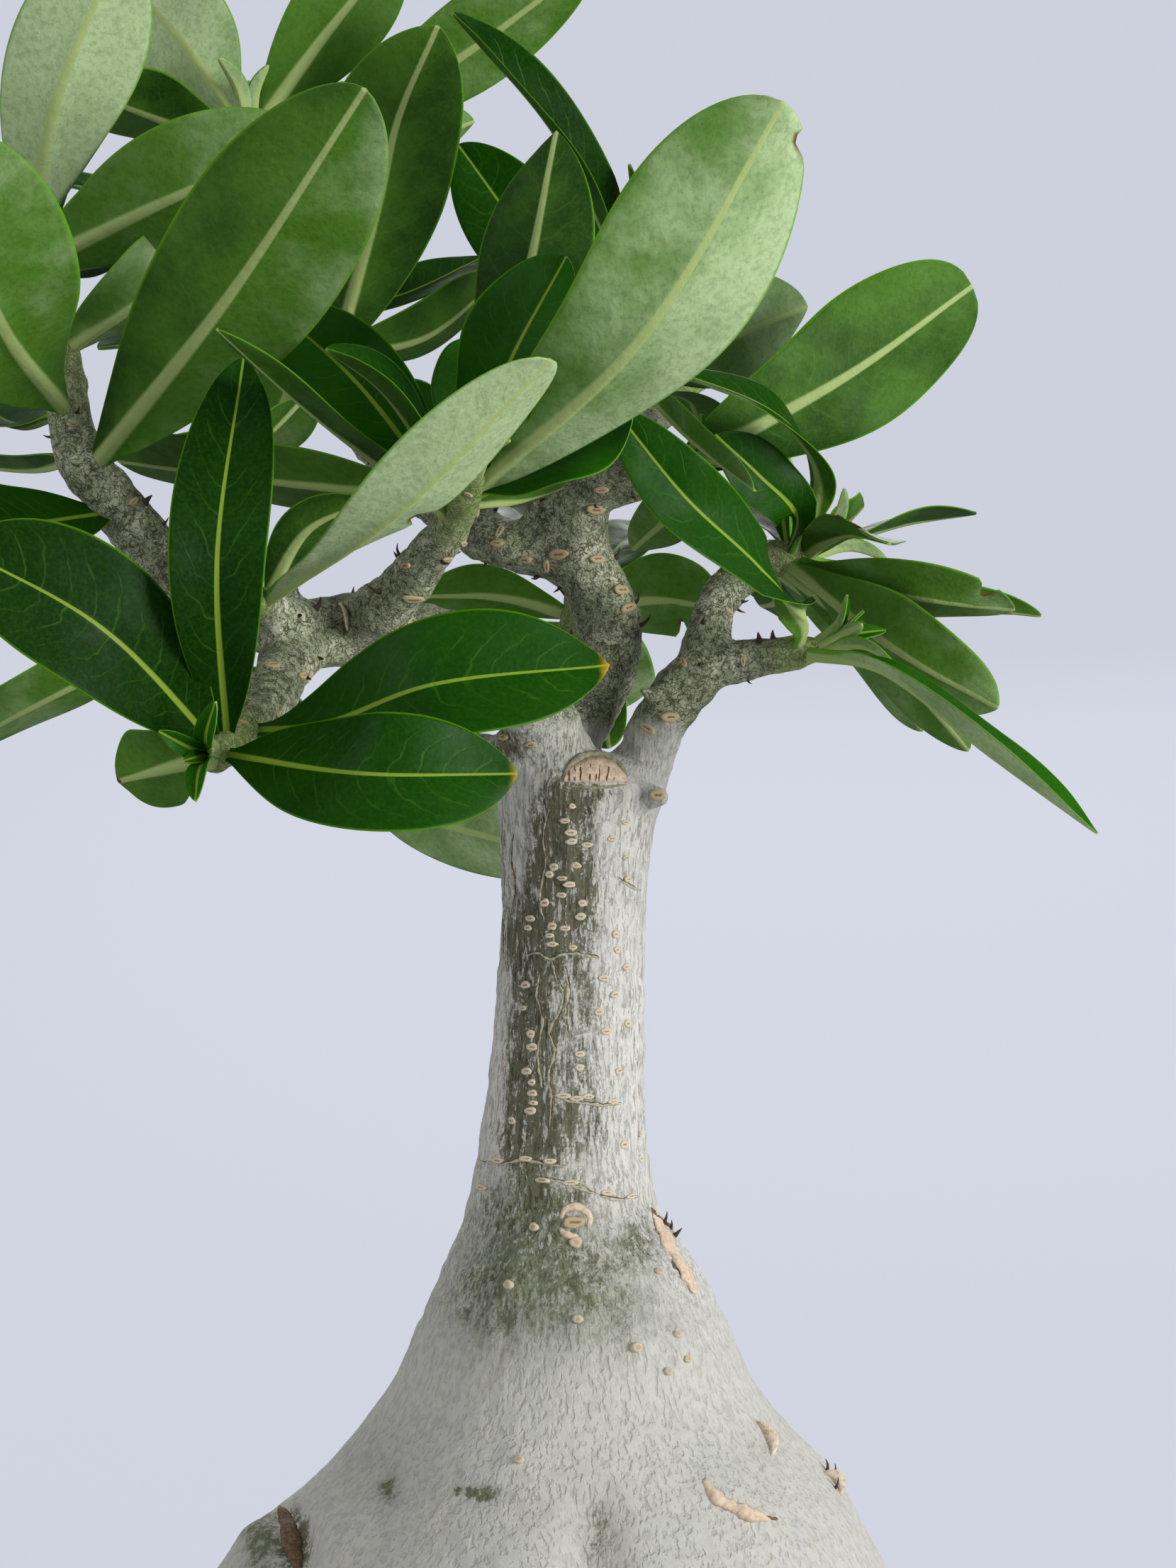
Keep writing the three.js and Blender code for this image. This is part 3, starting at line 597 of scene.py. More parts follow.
@dataclass(frozen=True)
class LeafFinish:
    """One side of a leaf, with its midrib, veins, a pale margin painted in the colour of light through the
    blade, and worn or yellow tip.
    """

    side: Side
    deep_and_shaded: Colour
    usual: Colour
    fresh_and_lit: Colour
    vein: Colour
    rib: Colour
    lit: Colour
    gloss: float
    veins_show: float
    rib_width: float
    shine: float
    vein_depth: float
    quilt_depth: float
    flecks: float
    yellow: Colour = shade(214, 178, 52)
    brown: Colour = shade(112, 62, 30)
    vein_count: float = 13.0
    through: float = 0.3

    def _green(self, paint: Paint, tone: Socket, cloud: Socket, speck: Socket) -> Socket:
        """The clouded and flecked green of the blade, from deep green and painted shade to fresh green and
        painted light as the leaf's tone rises.
        """
        mixed = paint.plus(paint.span(cloud, 0.3, 0.7, -0.12, 0.12), tone)
        body = paint.mix(paint.span(mixed, 0.0, 0.52), self.deep_and_shaded, self.usual)
        body = paint.mix(paint.span(mixed, 0.48, 1.0), body, self.fresh_and_lit)
        body = paint.mix(paint.span(speck, 0.35, 0.75, 0.0, 0.12), body, self.vein)
        body = paint.mix(paint.span(paint.noise(1.8, 5, 0.7), 0.42, 0.66, 0.0, self.flecks), body, self.deep_and_shaded)
        return paint.mix(paint.span(paint.cells(3.4), 0.06, 0.14, self.flecks, 0.0), body, self.deep_and_shaded)

    def _veins(self, paint: Paint, edge: Socket, share: Socket) -> Socket:
        """The side veins, which bow from the rib to the margin: 1 on a vein and 0 off it."""
        bowed = paint.times(paint.computed("POWER", edge, 1.5), 2.1)
        slant = paint.minus(paint.times(share, self.vein_count), bowed)
        swayed = paint.plus(slant, paint.span(paint.noise(13, 3), 0.2, 0.8, -0.3, 0.3))
        near = paint.computed("ABSOLUTE", paint.minus(paint.computed("FRACT", swayed), 0.5))
        vein = paint.times(paint.span(near, 0.015, 0.075, 1.0, 0.0), paint.span(edge, 0.45, 0.95, 1.0, 0.0))
        return paint.times(vein, paint.span(paint.noise(9, 3), 0.36, 0.6, 0.25, 1.0))

    def _aged(self, paint: Paint, body: Socket, share: Socket, cloud: Socket, speck: Socket) -> Socket:
        """The blade's colour with its yellow or dry tip and its dry nicks."""
        _, tip, wear = paint.channels("tone")
        faded = paint.span(paint.plus(share, paint.span(cloud, 0.3, 0.7, -0.02, 0.02)), 0.955, 0.995)
        body = paint.mix(paint.times(tip, faded), body, self.yellow)
        dead = paint.span(paint.plus(share, paint.span(speck, 0.3, 0.7, -0.02, 0.02)), 0.95, 0.985)
        body = paint.mix(paint.times(wear, dead), body, self.brown)
        return paint.mix(paint.number("burnt"), body, self.brown)

    def material(self) -> bpy.types.Material:
        """Builds the material."""
        paint = Paint(f"leaf_{self.side.name.lower()}")
        sideways, share = paint.flat_place("blade")
        edge = paint.times(paint.computed("ABSOLUTE", paint.minus(sideways, 0.5)), 2.0)
        from_rib = paint.times(edge, paint.number("half_width"))
        cloud = paint.noise(22, 4, 0.55)
        speck = paint.noise(1.1, 3, 0.6)
        vein = self._veins(paint, edge, share)
        body = self._green(paint, paint.channels("tone")[0], cloud, speck)
        body = paint.mix(paint.times(vein, self.veins_show), body, self.vein)
        narrowing = paint.span(share, 0.0, 1.0, self.rib_width, self.rib_width * 0.35)
        rib = paint.span(paint.computed("DIVIDE", from_rib, narrowing), 0.6, 1.15, 1.0, 0.0)
        body = paint.mix(paint.times(rib, 0.9), body, self.rib)
        # Painted light: the margin takes the colour of light shining through the thin blade.
        body = paint.mix(paint.span(edge, 0.955, 0.995, 0.0, 0.75), body, self.lit)
        body = self._aged(paint, body, share, cloud, speck)
        relief = paint.bump(vein, self.vein_depth, 0.5)
        relief = paint.bump(paint.noise(5.5, 4, 0.6), self.quilt_depth, 0.6, relief)
        relief = paint.bump(paint.noise(1.6, 4, 0.65), self.flecks * 0.5, 0.6, relief)
        rough = paint.span(paint.noise(7, 3), 0.3, 0.7, self.gloss - 0.05, self.gloss + 0.08)
        solid = paint.skin(body, rough, relief, Specular_IOR_Level=self.shine)
        return paint.done(paint.through(paint.mix(0.55, body, self.lit), solid, self.through))


@dataclass(frozen=True)
class StonewareFinish:
    """Matt pale stoneware with throwing lines and a few specks."""

    clay: Colour = shade(178, 170, 156)
    shadow: Colour = shade(158, 150, 136)
    speck: Colour = shade(84, 74, 62)

    def material(self) -> bpy.types.Material:
        """Builds the material."""
        paint = Paint("stoneware")
        cloud = paint.noise(38, 5, 0.6)
        rings = paint.noise(5, 3, 0.5, paint.stretched(0.02, 0.02, 1.0))
        colour = paint.mix(paint.span(cloud, 0.35, 0.7), self.clay, self.shadow)
        colour = paint.mix(paint.span(rings, 0.5, 0.75, 0.0, 0.35), colour, self.shadow)
        colour = paint.mix(paint.span(paint.cells(7), 0.05, 0.11, 0.8, 0.0), colour, self.speck)
        relief = paint.bump(rings, 0.5, 0.5, paint.bump(paint.noise(0.9, 3, 0.6), 0.12, 0.5))
        return paint.done(paint.skin(colour, paint.span(cloud, 0.3, 0.7, 0.55, 0.72), relief))


@dataclass(frozen=True)
class GritFinish:
    """Potting mix: dark crumbs, bark and pale grit."""

    name: str
    tones: tuple[Colour, Colour, Colour]

    def material(self) -> bpy.types.Material:
        """Builds the material."""
        paint = Paint(self.name)
        grain = paint.noise(2.2, 5, 0.65)
        patch = paint.noise(9, 3, 0.5)
        colour = paint.mix(paint.span(grain, 0.35, 0.65), self.tones[0], self.tones[1])
        colour = paint.mix(paint.span(patch, 0.48, 0.62, 0.0, 0.8), colour, self.tones[2])
        return paint.done(paint.skin(colour, 0.9, paint.bump(grain, 0.9, 0.8), Specular_IOR_Level=0.2))


TRUNK_LEVELS = [
    (-40, 40, 62), (-66, 66, 66), (-88, 87, 80), (-99, 98, 102), (-103, 102, 124), (-103, 101, 143),
    (-98, 98, 158), (-88, 92, 173), (-74, 84, 188), (-62, 71, 202), (-50.5, 58.5, 219), (-43, 51, 236),
    (-35, 41, 255), (-29, 31, 269), (-25.5, 27, 284), (-22, 26, 309), (-19, 25.8, 338), (-17.5, 26.2, 366),
    (-18, 28.5, 386), (-19, 30, 398), (-15, 24, 406), (-8, 16, 409),
]

LIMBS = {
    "limb_left": [
        (1, 394, 2, 14), (-3, 411, -8, 11.5), (-9, 426, -18, 11), (-24, 439, -28, 10.5),
        (-43, 444, -36, 10.5), (-62, 447, -42, 10.5), (-78, 445, -48, 10),
    ],
    "limb_centre": [
        (3, 394, 4, 14), (1, 410, 8, 10.8), (7, 422, 12, 10.6), (13.5, 436, 14, 10.2), (15, 449, 13, 10),
        (11, 460, 12, 9.8), (6, 471, 10, 9.6), (6, 484, 8, 9.2), (10, 497, 6, 8),
    ],
    "limb_right": [
        (18, 390, 0, 11), (25, 405, -2, 9), (28, 414, -5, 8.4), (34, 425, -8, 8.4), (42, 434, -10, 8.2),
    ],
    "front_knob": [(22, 397, -10, 5), (30.5, 396, -17, 3.4)],
    "cut_stub": [(-68, 444, -46, 6), (-64, 454, -48, 4.6)],
    "old_stub": [(-82, 444, -50, 5), (-82, 458, -54, 3.8)],
    "upper_stub": [(-9, 470, 14, 5), (-6, 487, 10, 4.2)],
    "pruned_lip": [(34, 423, -10, 6), (30, 426, -14, 4), (25, 428.5, -20, 1.6)],
    "bark_collar": [(-6, 400, -8, 9), (-16, 414, -12, 7)],
}

SHOOTS = {
    "left_low": [
        (-78, 445, -48, 9), (-84, 434, -70, 8), (-90, 423, -90, 6.2), (-98, 414, -108, 5.4),
        (-105, 408, -124, 4.8),
    ],
    "left_inner": [(-77, 446, -50, 8), (-86, 451, -64, 6.2), (-92, 455, -78, 5.2), (-97, 458, -90, 4.4)],
    "front_left": [
        (-62, 448, -44, 9), (-53, 454, -56, 7.8), (-42, 466, -70, 6.6), (-33, 479, -82, 5.6),
        (-29, 487, -92, 5), (-26, 494, -101, 4),
    ],
    "upper_left": [
        (-78, 446, -50, 9), (-99, 452, -54, 8.5), (-116, 464, -56, 8), (-129, 478, -58, 7.8),
        (-138, 489, -60, 7.5), (-146, 500, -62, 7.2), (-149, 513, -62, 6.4), (-150, 527, -62, 5.6),
        (-155, 541, -62, 5.2), (-160, 552, -64, 4.6), (-162, 560, -66, 4),
    ],
    "high_left": [
        (6, 468, 10, 8.5), (-10, 471, 14, 8), (-22, 475, 18, 8), (-31, 481, 22, 7.8), (-43, 489, 26, 7),
        (-58, 505, 30, 6.6), (-72, 524, 34, 6.3), (-84, 548, 38, 6), (-91, 573, 42, 5.4), (-94, 600, 44, 4.2),
    ],
    "rear_left": [
        (-42, 488, 26, 6.6), (-52, 503, 52, 6), (-64, 521, 84, 5.2), (-72, 535, 110, 4.8), (-77, 545, 128, 4),
    ],
    "centre": [
        (10, 496, 6, 7.6), (15, 506, 8, 6.4), (20, 514, 10, 5.4), (24, 522, 10, 4.8), (27, 530, 10, 4.4),
        (28, 538, 10, 3.8),
    ],
    "centre_stub": [(10, 489, 4, 7), (22, 492, 0, 6.6), (29, 494, -4, 5.6), (35, 495, -8, 4.6)],
    "right_high": [
        (42, 434, -10, 7.8), (45, 445, -6, 7), (48, 455, 0, 6.6), (55, 463, 6, 6.2), (65, 468, 12, 5.8),
        (71, 469, 15, 5.2), (76, 470, 18, 4.4),
    ],
    "right_low": [
        (38, 431, -10, 7), (49, 436, -12, 6.4), (60, 438, -14, 5.8), (71, 440, -17, 5.4), (78, 441, -20, 4.4),
    ],
    "back": [(3, 396, 8, 11), (0, 418, 48, 8.4), (3, 438, 78, 7), (5, 449, 94, 5.6), (6, 459, 108, 4.6)],
    "back_left": [
        (-1, 396, 4, 11), (-19, 407, 34, 8.4), (-41, 407, 58, 6.8), (-62, 405, 74, 5.6), (-78, 403, 86, 4.6),
    ],
    "back_right": [
        (11, 492, 8, 7.4), (19, 503, 44, 6.6), (29, 511, 84, 5.6), (36, 517, 110, 5), (40, 521, 124, 4.2),
    ],
}


@dataclass(frozen=True)
class Swell:
    """A broad swelling of the caudex, told by its bearing and half width in degrees."""

    bearing: float
    width: float
    rise: float
    middle: float
    reach: float

    def at(self, bearing: float, height: float) -> float:
        """How far the skin stands out at a bearing and a height."""
        turn = (bearing - self.bearing + 540) % 360 - 180
        return self.rise * math.exp(-((turn / self.width) ** 2) - ((height - self.middle) / self.reach) ** 2)


SWELLS = tuple(Swell(*row) for row in (
    (194, 15, 13, 158, 34), (238, 20, 5, 128, 56), (262, 13, 5, 150, 46), (312, 20, 7, 140, 60),
    (4, 16, 4, 120, 50), (52, 22, 7, 132, 62), (108, 20, 6, 138, 54), (150, 15, 6, 126, 52),
))


@dataclass(frozen=True)
class Bump:
    """A small rise or dent of the bark: where it is seen, its radius and its height."""

    across: float
    up: float
    radius: float
    height: float


BARK_BUMPS = tuple(Bump(*row) for row in (
    (-15.6, 248.1, 4.5, 1.6), (5.4, 237.6, 4.5, 1.4), (23.1, 229, 5.5, 2), (30.1, 252.1, 4, 1.2),
    (35.7, 233.1, 4, 1.2), (38.7, 225.5, 3.5, 1), (32.8, 221.8, 4, 1.4), (4.3, 266.9, 8.5, 1.5),
    (-18, 286, 9, 1), (-5, 281, 9, 0.9), (20, 275.5, 10, 1.2), (-24, 278, 6, 1.3), (8, 305, 9, 0.9),
    (-8, 349, 8, 0.6), (14, 349, 9, 0.6), (50, 186, 9, 2), (62, 178, 8, 1.6), (-12.5, 195, 6, 1),
    (-66, 172, 10, 2.5), (-30, 172, 22, 2.5), (-84, 179, 5, -4), (-81, 172, 6, -6), (-79, 164, 7, -6),
    (-93, 172, 8, 3), (9.5, 177, 8, -3.6), (9, 163, 10, -6.5), (34, 262, 6, 1.6), (42, 250, 7, 1),
    (10.3, 409.5, 6, 1.6), (24, 405, 5, 1.6), (-13, 412, 8, 2), (-6, 405, 7, 1.6), (18.8, 459, 5, 1.2),
    (20, 450, 6, 0.9), (-20, 472, 6, 1.4), (12, 489, 6, 1), (8, 441, 4, -0.9), (10, 478, 5, 1.1),
    (-67, 449, 5, -2.4), (-75, 452, 4, 1.4),
))


@dataclass(frozen=True)
class Stain:
    """A toned patch of the bark: where it is seen, its half sizes, and its darkness and mossiness; two
    patches paint shade in hollows of the caudex.
    """

    across: float
    up: float
    wide: float
    tall: float
    dark: float
    mossy: float


STAINS = tuple(Stain(*row) for row in (
    (1, 388, 8, 12, 0.85, 0.1), (0, 370, 9, 14, 1, 0.1), (-6, 354, 9, 10, 0.9, 0.1),
    (-9, 334, 5, 16, 0.95, 0.1), (-10, 310, 5, 16, 1, 0.15), (-10, 293, 7, 9, 0.9, 0.2),
    (6, 328, 9, 30, 0.42, 0.2), (5, 296, 9, 10, 0.4, 0.2), (-6, 274, 14, 9, 0.45, 0.6),
    (-14, 258, 17, 16, 0.4, 0.7), (6, 250, 17, 14, 0.3, 0.65), (24, 262, 7, 8, 0.4, 0.5),
    (22, 240, 14, 9, 0.15, 0.35), (-24, 240, 14, 12, 0.25, 0.4), (-4, 232, 18, 10, 0.12, 0.35),
    # The patch at (12, 172) at the end of the next row is painted shade in the valley between two lobes of
    # the caudex.
    (-23.6, 185, 4.4, 2.1, 1, 0.8), (-30.6, 185.6, 1.6, 1.4, 0.7, 0.6), (12, 172, 5, 12, 0.35, 0.1),
    (60, 196, 7, 7, 0.15, 0.15), (-60, 196, 14, 12, 0.1, 0.25), (8, 397, 10, 3, 0.4, 0.3),
    # The patch at (-80, 169) at the start of the next row darkens the cavity of the left lobe: partly its
    # dark brown, partly painted shade.
    (-80, 169, 4, 10, 1, 0.1), (-91, 172, 5, 14, 0.6, 0.8), (-18, 380, 3, 30, 0.3, 0.1),
    (-52, 186, 3, 5, 0.5, 0.5), (22, 389, 5, 10, -0.3, 0), (-17, 412, 12, 6, 0.4, 0.3),
    (28, 414, 9, 18, 0.1, 0.55), (0, 412, 14, 10, 0.1, 0.45), (-2, 174, 26, 13, 0.1, 0.25),
))


class Part(Enum):
    """The parts of the wood that differ in their relief."""

    CAUDEX = 0
    TRUNK = 1
    BRANCH = 2


@dataclass(frozen=True)
class Relief:
    """A layer of relief: the part that it lies on, its height, and how finely it varies along each axis."""

    part: Part
    rise: float
    scale: Triple


RELIEFS = (
    Relief(Part.CAUDEX, 1.5, (0.03, 0.03, 0.03)), Relief(Part.CAUDEX, 0.35, (0.3, 0.3, 0.14)),
    Relief(Part.TRUNK, 0.7, (0.22, 0.22, 0.06)), Relief(Part.TRUNK, 0.5, (0.05, 0.05, 0.25)),
    Relief(Part.TRUNK, 0.3, (0.5, 0.5, 0.16)), Relief(Part.BRANCH, 0.9, (0.13, 0.13, 0.13)),
    Relief(Part.BRANCH, 0.6, (0.33, 0.33, 0.33)),
)


def caudex_reach(left: float, right: float, bearing: float, height: float) -> float:
    """Reach of the trunk's skin at a bearing, with its swellings."""
    return (right - left) / 2 + sum(swell.at(bearing, height) for swell in SWELLS)


def caudex_ring(left: float, right: float, height: float, sides: int, inwards: float = 0.0) -> list[Vector]:
    """A level ring on the trunk's skin, or some way inside it."""
    ring = []
    for side in range(sides):
        bearing = 360 * side / sides
        reach = caudex_reach(left, right, bearing, height) - inwards
        turn = math.radians(bearing)
        across = (left + right) / 2 + reach * math.cos(turn)
        ring.append(Vector((across, reach * math.sin(turn), height)))
    return ring


class Wood:
    """The caudex, trunk and branches, in one bark."""

    TRUNK_SIDES = 144
    BRANCH_SIDES = 24
    RING_STEP = 2.5
    VOXEL = 1.86
    RELAXING = 4
    CAUDEX_END = (205, 245)
    TRUNK_END = (398, 412)
    BRANCH_START = (398, 415)
    BUMP_REACH = 2.4
    STATION_STEP = 4
    LIMB_AGE = 0.62
    SHOOT_AGE = 0.55
    TIP_YOUTH = 0.5
    STAIN_REACH = 3
    CROWN_HEIGHTS = (408, 444)
    FORK_HEIGHTS = (394, 418)
    AXIS = 2
    OUTER_REACH = (34, 50)
    OUTER_HEIGHTS = (340, 360)

    def __init__(self) -> None:
        """Grows the wood and keeps it for what sits on it."""
        self.limbs = {name: Limb(path) for name, path in {**LIMBS, **SHOOTS}.items()}
        self.mesh = self._skin(self._rough())
        self._carve()
        self.tree = BVHTree.FromPolygons(
            [vert.co.copy() for vert in self.mesh.vertices],
            [tuple(face.vertices) for face in self.mesh.polygons],
        )
        self._tone()

    def _rough(self) -> bpy.types.Mesh:
        """Joins a tube for the trunk and one for each branch."""
        rough = bmesh.new()
        profile = Line([Vector(level) for level in TRUNK_LEVELS])
        count = round(profile.length / self.RING_STEP)
        rings = []
        for index in range(count + 1):
            left, right, height = profile.point(index / count)
            rings.append(caudex_ring(left, right, height, self.TRUNK_SIDES))
        add_tube(rough, rings)
        for limb in self.limbs.values():
            add_tube(rough, limb.rings(self.BRANCH_SIDES, self.RING_STEP))
        return settled("rough_wood", rough)

    def _skin(self, rough: bpy.types.Mesh) -> bpy.types.Mesh:
        """Draws one even skin over the rough tubes, with their joints smoothed."""
        holder = placed("rough_wood", rough)
        remesh = holder.modifiers.new("skin", "REMESH")
        remesh.mode = "VOXEL"
        remesh.voxel_size = self.VOXEL
        relax = holder.modifiers.new("relax", "SMOOTH")
        relax.factor = 0.5
        relax.iterations = self.RELAXING
        skin = baked(holder)
        bpy.data.objects.remove(holder)
        bpy.data.meshes.remove(rough)
        return skin

    def _rise(self, spot: Vector, centres: Sequence[tuple[Vector, Bump]]) -> float:
        """How far the relief lifts the bark.

        Args:
            spot: Place on the smooth skin.
            centres: Middle of each bump that is seen, with the bump.

        Returns:
            The rise along the skin's normal.
        """
        above = smoothstep(*self.CAUDEX_END, spot.z)
        shares = {
            Part.CAUDEX: 1 - above,
            Part.TRUNK: above * (1 - smoothstep(*self.TRUNK_END, spot.z)),
            Part.BRANCH: smoothstep(*self.BRANCH_START, spot.z),
        }
        rise = 0.0
        for relief in RELIEFS:
            if shares[relief.part]:
                place = Vector([length * scale for length, scale in zip(spot, relief.scale)])
                rise += shares[relief.part] * relief.rise * noise.noise(place)
        for centre, bump in centres:
            apart = (spot - centre).length_squared
            if apart < (self.BUMP_REACH * bump.radius) ** 2:
                rise += bump.height * math.exp(-apart / bump.radius**2)
        return rise

    def _carve(self) -> None:
        """Raises the bark's folds, rings and lumps."""
        skin = bmesh.new()
        skin.from_mesh(self.mesh)
        skin.normal_update()
        tree = BVHTree.FromBMesh(skin)
        views = [EYE.towards(bump.across, bump.up) for bump in BARK_BUMPS]
        places = [tree.ray_cast(EYE.position, view)[0] for view in views]
        centres = [(place, bump) for place, bump in zip(places, BARK_BUMPS) if place is not None]
        moves = [vert.normal * self._rise(vert.co, centres) for vert in skin.verts]
        for vert, move in zip(skin.verts, moves):
            vert.co += move
        skin.to_mesh(self.mesh)
        skin.free()

    def _stations(self) -> list[tuple[Vector, float]]:
        """Places along the middle of the wood, each with the age of the bark round it."""
        stations = []
        for name, limb in self.limbs.items():
            steps = max(2, round(limb.line.length / self.STATION_STEP))
            for index in range(steps + 1):
                share = index / steps
                shoot_age = self.SHOOT_AGE - self.TIP_YOUTH * smoothstep(0.35, 1.0, share)
                stations.append((limb.line.point(share), self.LIMB_AGE if name in LIMBS else shoot_age))
        for height in range(60, 404, self.STATION_STEP):
            higher = (level for level in TRUNK_LEVELS[1:] if level[2] >= height)
            left, right, _ = next(higher, TRUNK_LEVELS[-1])
            stations.append((Vector(((left + right) / 2, 0, height)), 1.0))
        return stations

    def _stained(self, spot: Vector) -> Pair:
        """How dark and how mossy the bark is at a place."""
        spread = EYE.distance / (EYE.distance + spot.y)
        across, up = EYE.x + (spot.x - EYE.x) * spread, EYE.z + (spot.z - EYE.z) * spread
        dark = mossy = 0.0
        for stain in STAINS:
            aside, above = (across - stain.across) / stain.wide, (up - stain.up) / stain.tall
            if abs(aside) < self.STAIN_REACH and abs(above) < self.STAIN_REACH:
                weight = math.exp(-(aside * aside + above * above) * 0.8)
                dark += weight * stain.dark
                mossy += weight * stain.mossy
        front = smoothstep(12, -10, spot.y) if spot.z > 210 else smoothstep(30, -30, spot.y)
        cloud = noise.noise(Vector((spot.x * 0.03 + 7, spot.y * 0.03, spot.z * 0.012)))
        behind = max(0.0, cloud) * 0.6
        return front * dark + (1 - front) * behind, front * mossy + (1 - front) * behind * 0.7

    def _tone(self) -> None:
        """Paints how old, how dark and how mossy the bark is."""
        stations = self._stations()
        finder = KDTree(len(stations))
        for index, (place, _) in enumerate(stations):
            finder.insert(place, index)
        finder.balance()
        zone = self.mesh.color_attributes.new("zone", "FLOAT_COLOR", "POINT")
        for index, vert in enumerate(self.mesh.vertices):
            spot = vert.co
            near = finder.find_n(spot, 2)
            age = sum(stations[found][1] for _, found, _ in near) / len(near)
            crown = smoothstep(*self.CROWN_HEIGHTS, spot.z + 5 * noise.noise(spot * 0.1))
            crown *= smoothstep(*self.FORK_HEIGHTS, spot.z)
            outer = smoothstep(*self.OUTER_REACH, math.hypot(spot.x - self.AXIS, spot.y))
            outer *= smoothstep(*self.OUTER_HEIGHTS, spot.z)
            age = max(age, (1 - crown) * (1 - outer))
            dark, mossy = self._stained(spot)
            zone.data[index].color = (age, min(max(dark, -0.5), 1.0), min(max(mossy, 0.0), 1.0), 1.0)

    def seen_at(self, across: float, up: float) -> Found | None:
        """Finds the place and normal of the bark that is seen at a place of the trunk's plane."""
        place, normal, _, _ = self.tree.ray_cast(EYE.position, EYE.towards(across, up))
        return None if place is None else (place, normal)

    def outward(self, centre: Vector, direction: Vector) -> Found | None:
        """Finds the bark straight out from a point inside it."""
        place, normal, _, _ = self.tree.ray_cast(centre, direction, 30)
        return None if place is None else (place, normal)

    def dress(self) -> bpy.types.Object:
        """Makes the piece that stands for the solid wood."""
        return finish_piece("bark", self.mesh, [BarkFinish().material()], ["wood"])


def standing(place: Vector, normal: Vector, upright: Vector) -> Matrix:
    """Frame with Z along a normal and Y as near an upright direction as it can be."""
    ahead = (upright - normal * upright.dot(normal)).normalized()
    aside = ahead.cross(normal)
    turn = Matrix((aside, ahead, normal)).transposed()
    return Matrix.Translation(place) @ turn.to_4x4()


def marks() -> bmesh.types.BMesh:
    """An empty mesh for marks, whose points tell how near a mark's middle they are."""
    mesh = bmesh.new()
    mesh.verts.layers.float.new("core")
    return mesh


def add_spot(
    target: bmesh.types.BMesh,
    frame: Matrix,
    wide: float,
    tall: float,
    rise: float,
    hollow: float,
    slit: float = 1.1,
) -> None:
    """Adds a flat oval mark with a raised rim and a darker middle.

    Args:
        target: Mesh that receives the mark.
        frame: Its place on the bark, with Z outwards.
        wide: Width.
        tall: Height.
        rise: How far its rim stands out.
        hollow: Share of the rise by which the middle is sunk.
        slit: How many times narrower than the mark its middle is.
    """
    spot = marks()
    core = spot.verts.layers.float["core"]
    bmesh.ops.create_uvsphere(spot, u_segments=14, v_segments=10, radius=1.0)
    for vert in spot.verts:
        middle = 1 - smoothstep(0.3, 0.7, math.hypot(vert.co.x * 1.1, vert.co.y * slit))
        wobble = 1 + 0.3 * noise.noise(frame.translation * 0.7 + vert.co * 1.3)
        if vert.co.z > 0:
            vert[core] = middle
            vert.co.z = rise * (vert.co.z ** 0.6) * (1 - hollow * middle)
        else:
            vert.co.z *= 1.2
        vert.co.x *= wide / 2 * wobble
        vert.co.y *= tall / 2 * wobble
    bmesh.ops.transform(spot, matrix=frame, verts=spot.verts[:])
    move_into(target, spot)


def oval(centre: Vector, aside: Vector, ahead: Vector) -> list[Vector]:
    """Six points on an oval round a centre, told by its two half axes."""
    turns = [math.pi * side / 3 for side in range(6)]
    return [centre + aside * math.cos(turn) + ahead * math.sin(turn) for turn in turns]


def add_hook(target: bmesh.types.BMesh, frame: Matrix, length: float, thick: float, curl: float) -> None:
    """Adds a dry hooked bract.

    Args:
        target: Mesh that receives the bract.
        frame: Its place on the bark, with Z outwards.
        length: Length.
        thick: Thickness at its root.
        curl: How far its tip bends, in radians.
    """
    rings = []
    bow = length / max(curl, 0.1)
    for step in range(6):
        share = step / 5
        bend = curl * share
        centre = Vector((0, bow * (1 - math.cos(bend)), bow * math.sin(bend) - 0.6))
        reach = thick / 2 * (1 - 0.88 * share)
        ahead = Vector((0, math.cos(bend), -math.sin(bend))) * reach
        aside = Vector((1.5 * reach, 0, 0))
        rings.append([frame @ point for point in oval(centre, aside, ahead)])
    add_tube(target, rings)


LENTICELS = (
    (3.7, 393.3), (1.5, 388.8), (3.2, 385.2), (3.4, 382.6), (8.2, 381.5), (4.9, 375.3), (-1.9, 374.8),
    (-3.2, 372.6), (0.6, 371.4), (2.8, 369.5), (0.4, 366.3), (-4.7, 363.9), (6.7, 363.9), (6.2, 359.8),
    (-9, 359.2), (-9.7, 356.4), (-2.4, 356.8), (1.4, 356.2), (-3.2, 354), (-2.4, 351.4), (3.9, 350.4),
    (16.8, 354.4), (17.2, 349.7), (13.3, 341.1), (16.6, 336.2), (11.8, 330.8), (14, 325), (-8.8, 324.1),
    (-8.4, 320.2), (6, 318.1), (6, 314), (-16.8, 315.3), (-10.1, 312.9), (-8.6, 309.5), (-8.4, 306.3),
    (-8.2, 303.3), (-9, 300.9), (-14.6, 297.9), (19.8, 388.4), (15.7, 383.5), (20, 377.6), (20.6, 371.2),
    (20, 344.5), (20.6, 327.3), (17.8, 312.9), (19.4, 290.6), (24.4, 286.3), (24.2, 293.8), (-10.4, 339),
    (-11.2, 332),
)
SLITS = (
    (1.1, 305.4), (5, 304.6), (8.6, 305.2), (16.1, 303.6), (3.2, 279), (-3.2, 285.6), (-10.3, 286.3),
    (-18.9, 285.8), (21.5, 274.9), (-5.4, 279.8), (-23.9, 277.6), (14.5, 276),
)
KNOBS = (
    (-15.6, 248.1, 4.6), (5.4, 237.6, 4.4), (23.1, 229, 5.2), (-7.8, 265.6, 4.4), (30.1, 252.1, 3.8),
    (35.7, 233.1, 3.6), (38.7, 225.5, 3.4), (32.8, 221.8, 3.8), (-12.5, 195, 4.2), (4.8, 260.9, 5.4),
)
